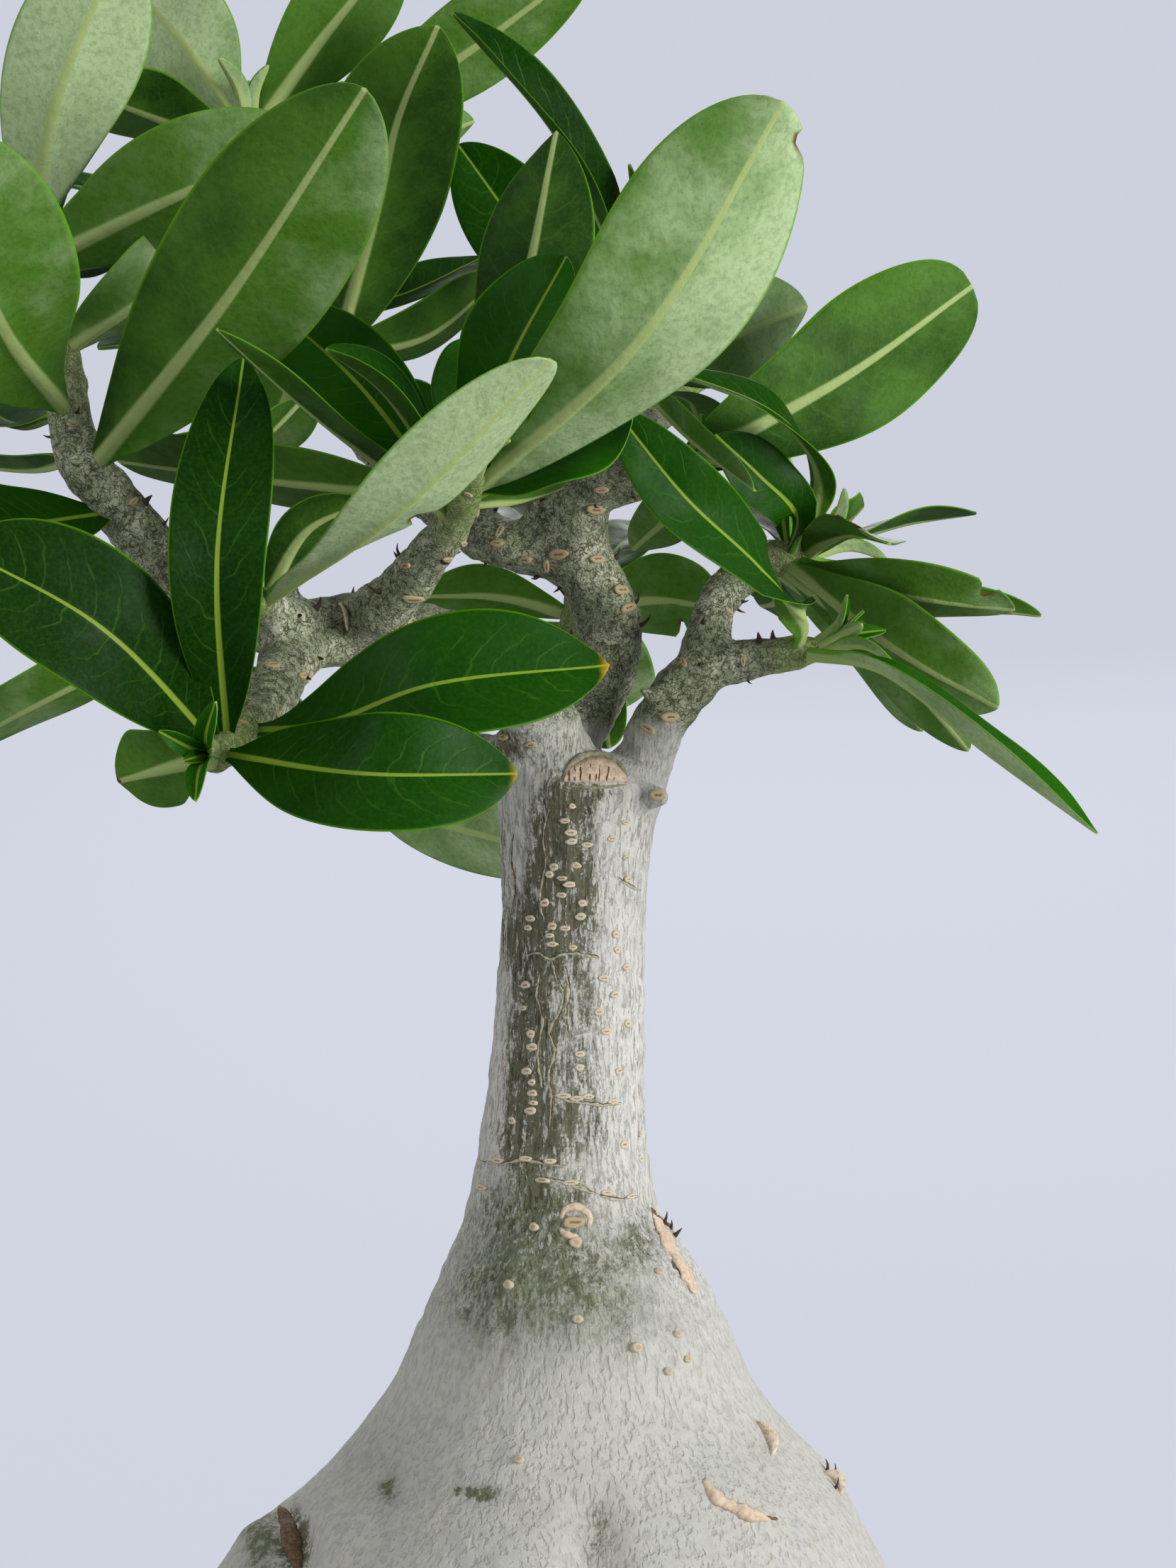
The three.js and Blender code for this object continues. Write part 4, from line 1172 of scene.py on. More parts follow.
BRANCH_SCARS = (
    (-10.6, 467.9, 4.4), (-0.5, 469.6, 6.6), (-19.1, 473, 4.2), (-29.3, 473, 4.2), (12.6, 489.2, 4.6),
    (11.4, 468.3, 5.4), (18.8, 458.9, 6), (10.9, 483.2, 6.2), (-44.6, 456.1, 6.4), (33.5, 420.4, 6.2),
    (-46.8, 466.3, 4), (-78, 432.9, 4.4), (-87, 436, 4.2), (-8.9, 411.9, 4), (-17, 414.2, 4), (4.4, 267, 6.8),
)
HOOKS = (
    (-18.6, 483), (-5.5, 486.4), (-2.7, 489.6), (-23.6, 464.8), (-10.1, 458.6), (-16.3, 462.4), (16.9, 468.5),
    (-74, 453), (-35.8, 467.4), (-54.8, 458.3), (31.2, 490.8), (-48.8, 469.6), (23, 454.9), (24.4, 448.1),
    (-6.7, 461.9), (-123.6, 486.4), (-101, 446), (57.2, 446.5), (60.5, 443.2), (64.6, 444.2), (77, 440),
    (66.6, 430.6), (31.4, 266.6), (33.6, 265), (36, 263), (82.6, 189.4), (83.6, 186.4), (81, 191.6),
)
HOOK_NUDGES = ((1.2, 0), (-1.2, 0), (0, -1.2), (0, 1.2), (2.4, -1.2), (-2.4, -1.2))
FRONT_KNOB = (29.6, 396.6)
BACK_HEIGHTS = range(232, 392, 6)
BACK_BEARINGS = (38, 74, 121, 156)
BACK_SHARE = 0.55
SCAR_STEP = 5.5
SCAR_TURN = 2.4
SCARS_FROM = 412
SCARS_MISSING = 0.72
BRACT_STEP = 9
BRACTS_FROM = 425
LEAST_FACING = 0.7
CRACKS = (
    ((-10.5, 348.4), (-6, 349.2), (-3.4, 347.2), (0, 348.6), (6, 348.8), (12, 347.6)),
    ((16.8, 372), (20.5, 370), (24.5, 367.6)),
    ((-3, 392), (-4.6, 384), (-3.8, 376), (-5.6, 366), (-4.4, 358)),
    ((-13.6, 388), (-14.6, 378), (-13.4, 368), (-15, 360)),
    ((-5.4, 344), (-6.4, 336), (-4.8, 328), (-6.2, 318), (-5, 308)),
    ((1.8, 345), (3, 338), (2, 330), (3.2, 322)),
    ((-2, 347), (-0.6, 341), (1.4, 337), (0.4, 331), (-2.6, 325), (-1.2, 319), (-2.8, 312), (-2.2, 304),
     (-2.6, 296)),
    ((-2, 306), (3, 304.4), (9, 303.4), (14, 303), (18.6, 303.4)),
    ((-25, 286), (-18, 285.2), (-11, 286.6), (-4, 285.2), (2, 284.2)),
    ((-6, 281), (2, 279.4), (10, 276.4), (17, 274.4), (24, 275.4)),
    ((45.4, 188.6), (48, 184), (53, 180.6), (58.6, 178.4), (65.4, 177)),
)


@dataclass(frozen=True)
class Strand:
    """A thin strand that follows the bark.

    Attributes:
        course: Places of the trunk's plane that it passes.
        size: Radius at its middle.
        shift: How far it runs beside the course.
        flat: How many times wider than high it is.
        ragged: How unevenly thick it is.
    """

    course: Sequence[Pair]
    size: float
    shift: float = 0.0
    flat: float = 1.0
    ragged: float = 0.5


PEELED = (
    Strand(((0.2, 268), (1.6, 271), (5.8, 271.6), (9, 268.6), (8.6, 265.4)), 0.7, flat=1.9),
    Strand(((5.6, 262.6), (1.8, 263.4), (0, 265.6)), 0.65, flat=1.9),
    Strand(((28.5, 270), (31.5, 263.5), (34.5, 257.5), (38, 252), (41.5, 245.5)), 1.1, flat=4.6, ragged=0.3),
    Strand(((44.5, 189.5), (46.5, 186), (50.5, 182.6), (56.5, 180), (64, 177.8)), 1.6, 0.9, 1.8),
)
RUSTED = (
    Strand(((27.5, 271.5), (30.5, 267.8), (34.5, 265), (37.5, 263)), 0.8, flat=1.6),
    Strand(((46, 184.8), (49.5, 181.2), (55.5, 178.2), (66, 176.4)), 0.95, -0.6, 1.5),
    Strand(((-85, 181), (-82.5, 175), (-80.5, 168), (-79.5, 161)), 1.6, flat=2.2),
)
FLAKES = ((61.5, 201.5, 13.0, 0.7), (-66.0, 450.6, 9.0, -0.4), (82.5, 188.0, 9.0, 0.3))
FLAKE_EDGES = ((-0.35, -1.0, 0), (0.35, -1.0, 0), (0.75, 0.0, 1), (0.05, 0.0, 1))


@dataclass(frozen=True)
class Cut:
    """The healed cut below the fork: where it is seen, and its half width and height."""

    across: float = 10.6
    foot: float = 400.6
    half_wide: float = 9.6
    tall: float = 7.6
    levels: tuple[Pair, ...] = ((0.0, -1.2), (0.0, 0.5), (0.3, 0.9), (0.7, 0.8), (1.0, 0.3), (1.0, -1.2))
    arch: tuple[float, ...] = (0.1, 0.45, 0.9, 1.4, 1.9, 2.4, 2.8, 3.1)

    def top(self, part: float) -> float:
        """Height of the cut at a place from -1 to 1 across it."""
        return self.tall * max(1 - part * part, 0.0) ** 0.6

    def lip(self) -> list[Pair]:
        """Places that the lip of bark over the cut passes."""
        middle, low, high = self.across, self.foot - 0.6, self.tall + 1.4
        return [(middle - self.half_wide * math.cos(turn), low + high * math.sin(turn)) for turn in self.arch]

    def sill(self) -> list[Pair]:
        """Places that the lip of bark under the cut passes."""
        left, right = self.across - self.half_wide, self.across + self.half_wide
        return [(left, self.foot - 1.2), (self.across, self.foot - 1.8), (right, self.foot - 0.8)]


@dataclass
class BarkMarks:
    """Lenticels, scars, knobs, cracks and dry bracts on the bark."""

    wood: Wood
    cut: Cut = Cut()
    upright: Vector = field(default_factory=lambda: Vector((0, 0, 1)))
    least_length: float = 24.0

    def _seen(self, rows: Sequence[Sequence[float]]) -> Iterator[tuple[Matrix, Sequence[float]]]:
        """Frames on the bark for the rows of a list whose place is seen.

        Args:
            rows: Rows that start with a place of the trunk's plane.

        Yields:
            The frame of each row, and what else the row says.
        """
        for across, up, *rest in rows:
            found = self.wood.seen_at(across, up)
            if found:
                yield standing(*found, self.upright), rest

    def _dry(self, name: str, made: bmesh.types.BMesh, kind: str, tone: Colour, grain_tone: Colour) -> None:
        """Finishes a piece of dry tissue."""
        finish_piece(name, made, [DryFinish(kind, tone, grain_tone).material()])

    def _corky(self, name: str, made: bmesh.types.BMesh, kind: str, rim: Colour, core: Colour) -> None:
        """Finishes a piece of marks with a rim."""
        finish_piece(name, made, [SpotFinish(kind, rim, core).material()])

    def _beside(self, limb: Limb, share: float, turn: float) -> Found | None:
        """Finds the bark beside a branch, turned about its middle, where it faces outwards."""
        along = limb.line.tangent(share)
        side = Matrix.Rotation(turn, 3, along) @ along.orthogonal().normalized()
        found = self.wood.outward(limb.line.point(share), side)
        return found if found and found[1].dot(side) > LEAST_FACING else None

    def _lenticels(self) -> None:
        """Corky lenticels in upright rows on the trunk."""
        draw = random.Random(91)
        corky = marks()
        for frame, _ in self._seen(LENTICELS):
            add_spot(corky, frame, draw.uniform(2.2, 3.9), draw.uniform(1.5, 2.5), 0.6, 0.6, 2.4)
        for height in BACK_HEIGHTS:
            for bearing in BACK_BEARINGS:
                if draw.random() >= BACK_SHARE:
                    continue
                turn = math.radians(bearing + draw.uniform(-5, 5))
                centre = Vector((2, 0, height + draw.uniform(-2, 2)))
                found = self.wood.outward(centre, Vector((math.cos(turn), math.sin(turn), 0)))
                if found:
                    frame = standing(*found, self.upright)
                    add_spot(corky, frame, draw.uniform(2.2, 3.2), 1.8, 0.6, 0.6, 2.6)
        for frame, _ in self._seen(SLITS):
            add_spot(corky, frame, draw.uniform(4.0, 5.6), 1.7, 0.6, 0.7, 2.2)
        self._corky("lenticels", corky, "lenticel", shade(198, 186, 164), shade(146, 118, 94))

    def _scars(self) -> None:
        """Leaf scars along the branches, and knobs on the caudex."""
        draw = random.Random(92)
        corky = marks()
        for frame, (size,) in self._seen(BRANCH_SCARS):
            add_spot(corky, frame, size, size * 0.5, 0.7, 0.4, 2.0)
        for frame, _ in self._seen([FRONT_KNOB]):
            add_spot(corky, frame, 5.2, 3.4, 0.8, 0.7, 2.2)
        for limb in self.wood.limbs.values():
            length = limb.line.length
            if length < self.least_length:
                continue
            turn = draw.uniform(0, 6)
            for step in range(int(length / SCAR_STEP)):
                share = (step + 0.5) * SCAR_STEP / length
                turn += SCAR_TURN
                low = limb.line.point(share).z < SCARS_FROM
                if share > 0.97 or low or draw.random() < SCARS_MISSING:
                    continue
                found = self._beside(limb, share, turn)
                if found:
                    frame = standing(*found, limb.line.tangent(share))
                    size = limb.radius(share) * draw.uniform(0.38, 0.55)
                    add_spot(corky, frame, size * 1.3, size * 0.55, 0.5, 0.5, 2.1)
        self._corky("leaf_scars", corky, "leaf_scar", shade(172, 156, 122), shade(132, 96, 70))
        pale = marks()
        for frame, (size,) in self._seen(KNOBS):
            add_spot(pale, frame, size * 0.72, size * 0.62, size * 0.25, 0.1)
        self._corky("calluses", pale, "callus", shade(186, 176, 152), shade(178, 148, 120))

    def _strand(self, target: bmesh.types.BMesh, strand: Strand) -> None:
        """Adds a strand to a mesh."""
        track = Line([EYE.seen(across, up, 0) for across, up in strand.course])
        steps = max(4, round(track.length / 0.9))
        rings = []
        for index in range(steps + 1):
            share = index / steps
            seen = track.point(share)
            along = track.tangent(share)
            beside = Vector((along.z, 0, -along.x)) * strand.shift
            weave = 0.35 * noise.noise(Vector((seen.x * 0.8, strand.shift, seen.z * 0.8)))
            found = self.wood.seen_at(seen.x + beside.x + weave, seen.z + beside.z + weave)
            if not found:
                continue
            place, normal = found
            aside = normal.cross(along).normalized()
            taper = 0.25 + 0.75 * math.sin(math.pi * share) ** 0.6
            reach = strand.size * taper * max(0.16, 0.9 + strand.ragged * noise.noise(place * 0.6))
            rings.append(oval(place, aside * reach * strand.flat, normal * reach))
        if len(rings) > 3:
            add_tube(target, rings)

    def _cracks(self) -> None:
        """Fine cracks where old bark has split, each with a pale lip beside it."""
        split, lips = bmesh.new(), bmesh.new()
        for crack in CRACKS:
            self._strand(split, Strand(crack, 0.26, ragged=1.0))
            self._strand(lips, Strand(crack, 0.32, 0.5, 1.6, 1.3))
        self._dry("bark_cracks", split, "crack", shade(104, 92, 66), shade(58, 48, 32))
        self._dry("crack_lips", lips, "crack_lip", shade(182, 178, 158), shade(132, 128, 104))

    def _peeled(self) -> None:
        """The peeled strips, the rusty wounds and the standing flakes of bark."""
        strip, rust, flakes = bmesh.new(), bmesh.new(), bmesh.new()
        for target, strands in ((strip, PEELED), (rust, RUSTED)):
            for strand in strands:
                self._strand(target, strand)
        self._dry("peeled_bark", strip, "peeled", shade(208, 192, 170), shade(188, 160, 136))
        self._dry("rusty_wounds", rust, "rust", shade(122, 94, 68), shade(70, 52, 38))
        for across, up, length, lean in FLAKES:
            found = self.wood.seen_at(across, up) or self.wood.seen_at(across - 1.5, up)
            if not found:
                continue
            frame = standing(*found, Vector((lean, 0, 1)))
            rings = []
            for index in range(9):
                arch = math.sin(math.pi * index / 8)
                middle = Vector((1.8 * arch, length * (index / 8 - 0.5), 0))
                rise = 3.8 * arch**0.7
                edges = [Vector((aside, 0, out + rise * raised)) for aside, out, raised in FLAKE_EDGES]
                rings.append([frame @ (middle + edge) for edge in edges])
            add_tube(flakes, rings)
        self._dry("bark_flakes", flakes, "flake", shade(222, 210, 190), shade(186, 158, 126))

    def _cut(self) -> None:
        """The healed cut: a half disc of pinkish wood with upright cracks under a lip of bark."""
        cut = self.cut
        wood, lip, split = bmesh.new(), bmesh.new(), bmesh.new()
        rings = []
        for index in range(33):
            part = -1 + index / 16
            top = cut.top(part) * (1 + 0.12 * noise.noise(Vector((part * 3, 0, 5))))
            ring = []
            for level, sunk in cut.levels:
                found = self.wood.seen_at(cut.across + part * cut.half_wide, cut.foot + top * level)
                if found:
                    rough = 0.35 * noise.noise(Vector((part * 9, level * 2, 0)))
                    ring.append(found[0] + found[1] * (sunk + rough))
            if len(ring) == len(cut.levels):
                rings.append(ring)
        add_tube(wood, rings)
        self._dry("cut_wood", wood, "cut_wood", shade(210, 190, 168), shade(180, 148, 124))
        self._strand(lip, Strand(cut.lip(), 1.2, flat=1.4))
        self._strand(lip, Strand(cut.sill(), 0.6))
        self._dry("cut_lip", lip, "cut_lip", shade(150, 148, 120), shade(104, 106, 80))
        draw = random.Random(94)
        for index in range(9):
            part = -0.8 + index * 0.2 + draw.uniform(-0.05, 0.05)
            across = cut.across + part * cut.half_wide
            end = (across + draw.uniform(-0.4, 0.4), cut.foot + cut.top(part) * 0.85)
            lifted = bmesh.new()
            self._strand(lifted, Strand([(across, cut.foot + 0.4), end], 0.36))
            bmesh.ops.translate(lifted, verts=lifted.verts[:], vec=(0, -0.75, 0.0))
            move_into(split, lifted)
        self._dry("cut_cracks", split, "cut_crack", shade(122, 78, 58), shade(72, 44, 30))

    def _bracts(self) -> None:
        """Dark dry bracts that hook out of the bark."""
        draw = random.Random(93)
        dry = bmesh.new()
        for across, up in HOOKS:
            found = self.wood.seen_at(across, up)
            for aside, above in HOOK_NUDGES:
                found = found or self.wood.seen_at(across + aside, up + above)
            if found:
                outwards = (found[1] + Vector((0, -0.1, 0.25))).normalized()
                frame = standing(found[0], outwards, Vector((draw.uniform(-1, 1), 0, 1)))
                add_hook(dry, frame, draw.uniform(3.4, 5.6), draw.uniform(1.2, 1.8), draw.uniform(0.7, 1.6))
        for limb in self.wood.limbs.values():
            whole = limb.line.length
            if whole < self.least_length:
                continue
            for step in range(int(whole / BRACT_STEP)):
                share = (step + draw.random()) * BRACT_STEP / whole
                if share > 0.8 or limb.line.point(share).z < BRACTS_FROM:
                    continue
                found = self._beside(limb, share, draw.uniform(0, 6.28))
                if found:
                    sizes = draw.uniform(2.0, 3.6), draw.uniform(0.9, 1.4), draw.uniform(0.5, 1.4)
                    add_hook(dry, standing(*found, limb.line.tangent(share)), *sizes)
        self._dry("dry_bracts", dry, "dry_bract", shade(74, 46, 34), shade(40, 24, 20))

    def dress(self) -> None:
        """Makes every piece of the bark's marks."""
        self._lenticels()
        self._scars()
        self._cracks()
        self._peeled()
        self._cut()
        self._bracts()


@dataclass(frozen=True)
class Leaf:
    """One leaf: where it grows on its shoot, the points that its midrib passes, and its form."""

    at: float
    midrib: tuple[Triple, ...]
    width: float
    facing: Triple
    reach: Triple | None = None
    fold: float | None = None
    twist: float = 0.0
    widest: float = 0.63
    blunt: float | None = None


def leaf(at: float, midrib: Sequence[Triple], width: float, facing: Triple, **form: float) -> Leaf:
    """A leaf whose midrib passes points of the photograph up to its tip."""
    return Leaf(at, tuple(midrib), width, facing, **form)


def spreading(at: float, reach: Triple, width: float) -> Leaf:
    """A plain arching leaf on the far side of the plant, told by how far its tip reaches."""
    return Leaf(at, (), width, (0.0, -0.15, 1.0), reach)


LEAVES: dict[str, list[Leaf]] = {
    "front_left": [
        leaf(
            0.86, [(25, 536, -138), (68, 607, -158)], 49, (-0.35, 0.9, 0.25), fold=14, widest=0.67, blunt=0.5,
        ),
        leaf(0.92, [(-16, 526, -112), (2, 560, -122)], 31, (-0.15, -0.9, 0.35)),
        leaf(0.96, [(-11, 548, -98), (-1, 598, -84)], 32, (0.25, 0.9, 0.2), blunt=0.85),
        leaf(0.76, [(-61, 521, -92), (-85, 543, -84)], 28, (-0.2, -0.8, 0.55), twist=-25),
        leaf(0.82, [(-53, 519, -112), (-71, 532, -122)], 20, (0.55, -0.35, 0.75), fold=30),
        leaf(0.74, [(-75, 513, -132), (-104, 538, -160)], 24, (0.62, 0.3, 0.7)),
        leaf(0.85, [(-84, 492, -68), (-134, 498, -36)], 30, (0, 0.6, 0.8)),
        leaf(0.88, [(0, 500, -98), (22, 511, -100)], 30, (0.1, -0.75, 0.65)),
        leaf(0.84, [(-15, 486, -76), (1, 490, -60)], 24, (0, 0.5, 0.85)),
        spreading(0.9, (6, 58, 50), 30),
        spreading(0.8, (-34, 52, 44), 30),
    ],
    "left_inner": [
        leaf(0.7, [(-49, 483, -134), (-3, 529, -160)], 31, (-0.5, 0.55, 0.6), widest=0.72, blunt=0.45),
        leaf(0.6, [(-77, 477, -88), (-57, 486, -92)], 16, (-0.3, 0.6, 0.7)),
        leaf(0.8, [(-140, 434, -84), (-190, 408, -76)], 26, (-0.3, 0.5, 0.8)),
    ],
    "left_low": [
        leaf(0.88, [(-104, 468, -146), (-96, 529, -122)], 26, (0.1, -1, 0), widest=0.58),
        leaf(0.93, [(-140, 448, -150), (-183, 472, -162)], 38, (0.15, -0.95, 0.3)),
        leaf(0.97, [(-119, 405, -116), (-134, 401, -104)], 25, (0.15, 0.9, 0.4)),
        leaf(0.74, [(-72, 418, -120), (-39, 430, -136), (15, 436, -126)], 36, (0, -0.93, 0.35), blunt=0.8),
        leaf(0.96, [(-58, 403, -162), (-13, 403, -150)], 32, (0, -0.95, 0.3), blunt=0.7),
    ],
    "upper_left": [
        leaf(0.55, [(-99, 550, -118), (-59, 611, -158)], 47, (-0.2, 0.95, 0.1), blunt=0.6),
        leaf(0.67, [(-171, 543, -122), (-187, 600, -164)], 50, (-0.1, 1, 0.05)),
        leaf(0.45, [(-166, 479, -84), (-204, 486, -104)], 36, (0, -0.75, 0.65)),
        leaf(0.59, [(-159, 496, -36), (-196, 499, 0)], 28, (0, 0.2, 1)),
        leaf(0.69, [(-164, 509, -30), (-183, 520, 14)], 28, (0, -0.5, 0.8)),
        leaf(0.8, [(-130, 545, -74), (-101, 566, -64)], 30, (-0.3, 0.6, 0.7)),
        leaf(0.98, [(-115, 579, -92), (-75, 596, -98)], 38, (-0.3, 0.85, 0.3)),
        leaf(0.96, [(-134, 559, -62), (-108, 554, -52)], 24, (0.3, 0.3, 0.85)),
        leaf(0.98, [(-146, 570, -48), (-131, 581, -24)], 26, (-0.4, 0.5, 0.7)),
        leaf(0.985, [(-153, 606, -98), (-133, 655, -112)], 37, (-0.15, 0.95, 0), widest=0.68),
        spreading(0.97, (-58, 30, 52), 36),
        spreading(0.93, (-66, -26, 30), 36),
        spreading(0.85, (-52, 58, 16), 34),
        spreading(0.97, (-20, 66, 48), 34),
    ],
    "high_left": [
        leaf(0.54, [(-55, 577, -4), (-49, 602, -18), (-37, 630, -34)], 42, (-0.15, 1, 0.05)),
        leaf(0.97, [(-112, 622, 46), (-138, 651, 62)], 43, (0.3, 0.9, 0.3), widest=0.66),
        leaf(0.95, [(-119, 601, 30), (-149, 612, 12)], 32, (0.2, 0.6, 0.7)),
        leaf(0.98, [(-73, 625, 48), (-47, 657, 52)], 32, (-0.3, 0.9, 0.2)),
        leaf(0.93, [(-39, 615, 30), (11, 651, 10)], 31, (-0.3, 0.75, 0.4), widest=0.67),
        leaf(0.56, [(-95, 503, 14), (-130, 498, -8)], 28, (0.1, 0.4, 0.9)),
        leaf(0.86, [(-123, 577, 22), (-155, 583, 8)], 28, (0.1, -0.4, 0.9)),
        leaf(0.68, [(-112, 537, 6), (-140, 532, -22)], 24, (0.1, -0.4, 0.9)),
        leaf(0.6, [(-43, 535, 40), (-18, 554, 52)], 28, (-0.1, 0.5, 0.8)),
        leaf(0.64, [(-83, 517, 52), (-97, 500, 64)], 26, (0.3, 0.7, 0.6)),
        leaf(0.66, [(-49, 548, 48), (-23, 560, 66)], 26, (-0.1, -0.5, 0.8)),
        leaf(0.9, [(-56, 590, 76), (-26, 601, 96)], 28, (-0.1, 0.7, 0.7)),
        spreading(0.97, (14, 78, 34), 36),
        spreading(0.95, (-44, 62, 16), 34),
        spreading(0.86, (34, 72, 8), 34),
    ],
    "rear_left": [
        spreading(0.97, (-8, 76, 32), 34),
        spreading(0.94, (-56, 54, 22), 34),
        spreading(0.94, (46, 58, 20), 34),
        spreading(0.88, (-38, 50, -22), 32),
        spreading(0.98, (-4, 42, 66), 34),
    ],
    "centre": [
        leaf(0.88, [(1, 594, -36), (-33, 634, -58)], 20, (0.6, -0.6, 0.3), fold=45),
        leaf(0.8, [(-4, 558, 24), (-31, 594, 24)], 32, (-0.3, -0.85, 0.35)),
        leaf(0.97, [(25, 565, -16), (21, 588, -30)], 22, (0.9, 0.3, 0.1)),
        leaf(0.94, [(19, 554, 34), (15, 575, 44)], 26, (-0.3, -0.8, 0.4)),
        leaf(0.72, [(50, 535, 34), (75, 545, 50)], 36, (-0.1, 0.85, 0.45)),
        leaf(0.66, [(40, 505, -36), (59, 489, -64)], 18, (0.5, 0.25, 0.75), fold=28),
        leaf(0.6, [(40, 516, 46), (43, 503, 62)], 22, (0.5, 0.6, 0.5)),
        spreading(0.96, (6, 78, 42), 34),
        spreading(0.9, (-36, 70, 24), 34),
    ],
    "centre_stub": [
        leaf(0.94, [(87, 524, 8), (125, 551, 20)], 43, (-0.2, 0.9, 0.3), widest=0.68, blunt=0.42),
        leaf(0.95, [(35, 484, 34), (22, 471, 70)], 19, (0.2, 0.8, 0.5)),
        leaf(0.9, [(25, 502, -22), (18, 509, -26)], 12, (0.5, -0.5, 0.6)),
    ],
    "right_high": [
        leaf(
            0.9, [(79, 490, 0), (74, 504, -14), (61, 515, -26), (32, 526, -34)], 19, (0.6, 0.3, 0.8),
            twist=-55,
        ),
        leaf(0.86, [(72, 481, -2), (61, 493, -12), (47, 506, -22)], 20, (-0.4, -0.75, 0.45)),
        leaf(0.88, [(64, 496, 24), (52, 514, 34)], 16, (-0.6, -0.2, 0.7)),
        leaf(0.95, [(87, 476, -8), (100, 473, -30)], 26, (-0.3, 0.8, 0.5)),
        leaf(0.94, [(103, 479, 44), (126, 482, 60)], 22, (0, 0.1, 1)),
        leaf(0.97, [(86, 479, 40), (92, 484, 56)], 18, (-0.4, 0.6, 0.6)),
        leaf(0.9, [(71, 492, 42), (68, 503, 60)], 20, (-0.3, 0.8, 0.4)),
        leaf(0.9, [(108, 457, -14), (138, 453, -8)], 28, (0, 0.5, 0.85)),
        leaf(0.93, [(114, 456, 40), (146, 451, 50)], 22, (0, 0.3, 0.95)),
        leaf(0.78, [(66, 456, 44), (61, 454, 66)], 22, (0.4, 0.6, 0.6)),
        leaf(0.86, [(86, 455, 46), (98, 450, 68)], 26, (0, 0.6, 0.8)),
        leaf(0.84, [(102, 441, -16), (133, 423, -20)], 31, (0.2, 0.75, 0.6)),
        leaf(0.8, [(98, 440, 18), (124, 410, 24)], 20, (0.2, 0.8, 0.5)),
        leaf(0.76, [(94, 441, 44), (110, 416, 54)], 20, (0.3, 0.8, 0.4)),
        leaf(0.74, [(56, 474, 46), (49, 484, 72)], 22, (-0.1, 0.8, 0.5)),
        spreading(0.9, (-8, 78, 24), 28),
        spreading(0.86, (2, 80, -12), 28),
    ],
    "right_low": [
        leaf(
            0.8, [(73, 450, -34), (60, 466, -58), (38, 487, -78), (17, 513, -86)], 24, (-0.35, -0.75, 0.5),
            fold=12,
        ),
        leaf(
            0.88, [(98, 435, -46), (131, 409, -64), (163, 385, -70)], 22, (0.5, -0.25, 0.8), fold=28, blunt=1,
        ),
    ],
    "back": [
        leaf(0.88, [(-19, 457, 98), (-44, 457, 84)], 22, (0, 0.75, 0.6)),
        leaf(0.9, [(29, 456, 98), (50, 453, 84)], 34, (0, 0.85, 0.5)),
        leaf(0.8, [(12, 429, 112), (15, 411, 92)], 16, (0.3, 0.8, -0.3)),
        spreading(0.9, (0, 78, 18), 32),
        spreading(0.95, (-28, 70, 40), 32),
        spreading(0.95, (30, 70, 32), 32),
        spreading(0.85, (18, 70, -26), 30),
        spreading(0.85, (-30, 66, -14), 30),
    ],
    "back_left": [
        leaf(0.88, [(-43, 391, 82), (3, 378, 50)], 40, (-0.1, 0.85, 0.45)),
        spreading(0.9, (-20, 74, 20), 32),
        spreading(0.95, (16, 76, 4), 32),
        spreading(0.82, (40, 70, 26), 32),
        spreading(0.96, (-44, 48, 36), 32),
    ],
    "back_right": [
        spreading(0.97, (4, 78, 30), 34),
        spreading(0.95, (44, 66, 12), 34),
        spreading(0.92, (-40, 70, 18), 34),
        spreading(0.97, (14, 52, 56), 34),
        spreading(0.95, (-22, 50, 56), 32),
    ],
}


@dataclass(frozen=True)
class WearAndPaintedLight:
    """What marks a single leaf out, and the light and shade painted on it.

    Attributes:
        yellow: How far the tip has yellowed.
        brown: How far the tip has dried.
        tone: Its green from 0, deep, to 1, fresh, where it is known; partly its own green and partly painted
            light and shade, low for a leaf in shade and high for a lit one.
        lean: How much lighter one half of the blade is painted than its middle, and the other half darker:
            painted light and shade across the blade's fold.
        bites: Nicks of its margin, as side, share of the length, depth and half length.
    """

    yellow: float = 0.0
    brown: float = 0.0
    tone: float | None = None
    lean: float = 0.0
    bites: tuple[tuple[int, float, float, float], ...] = ()


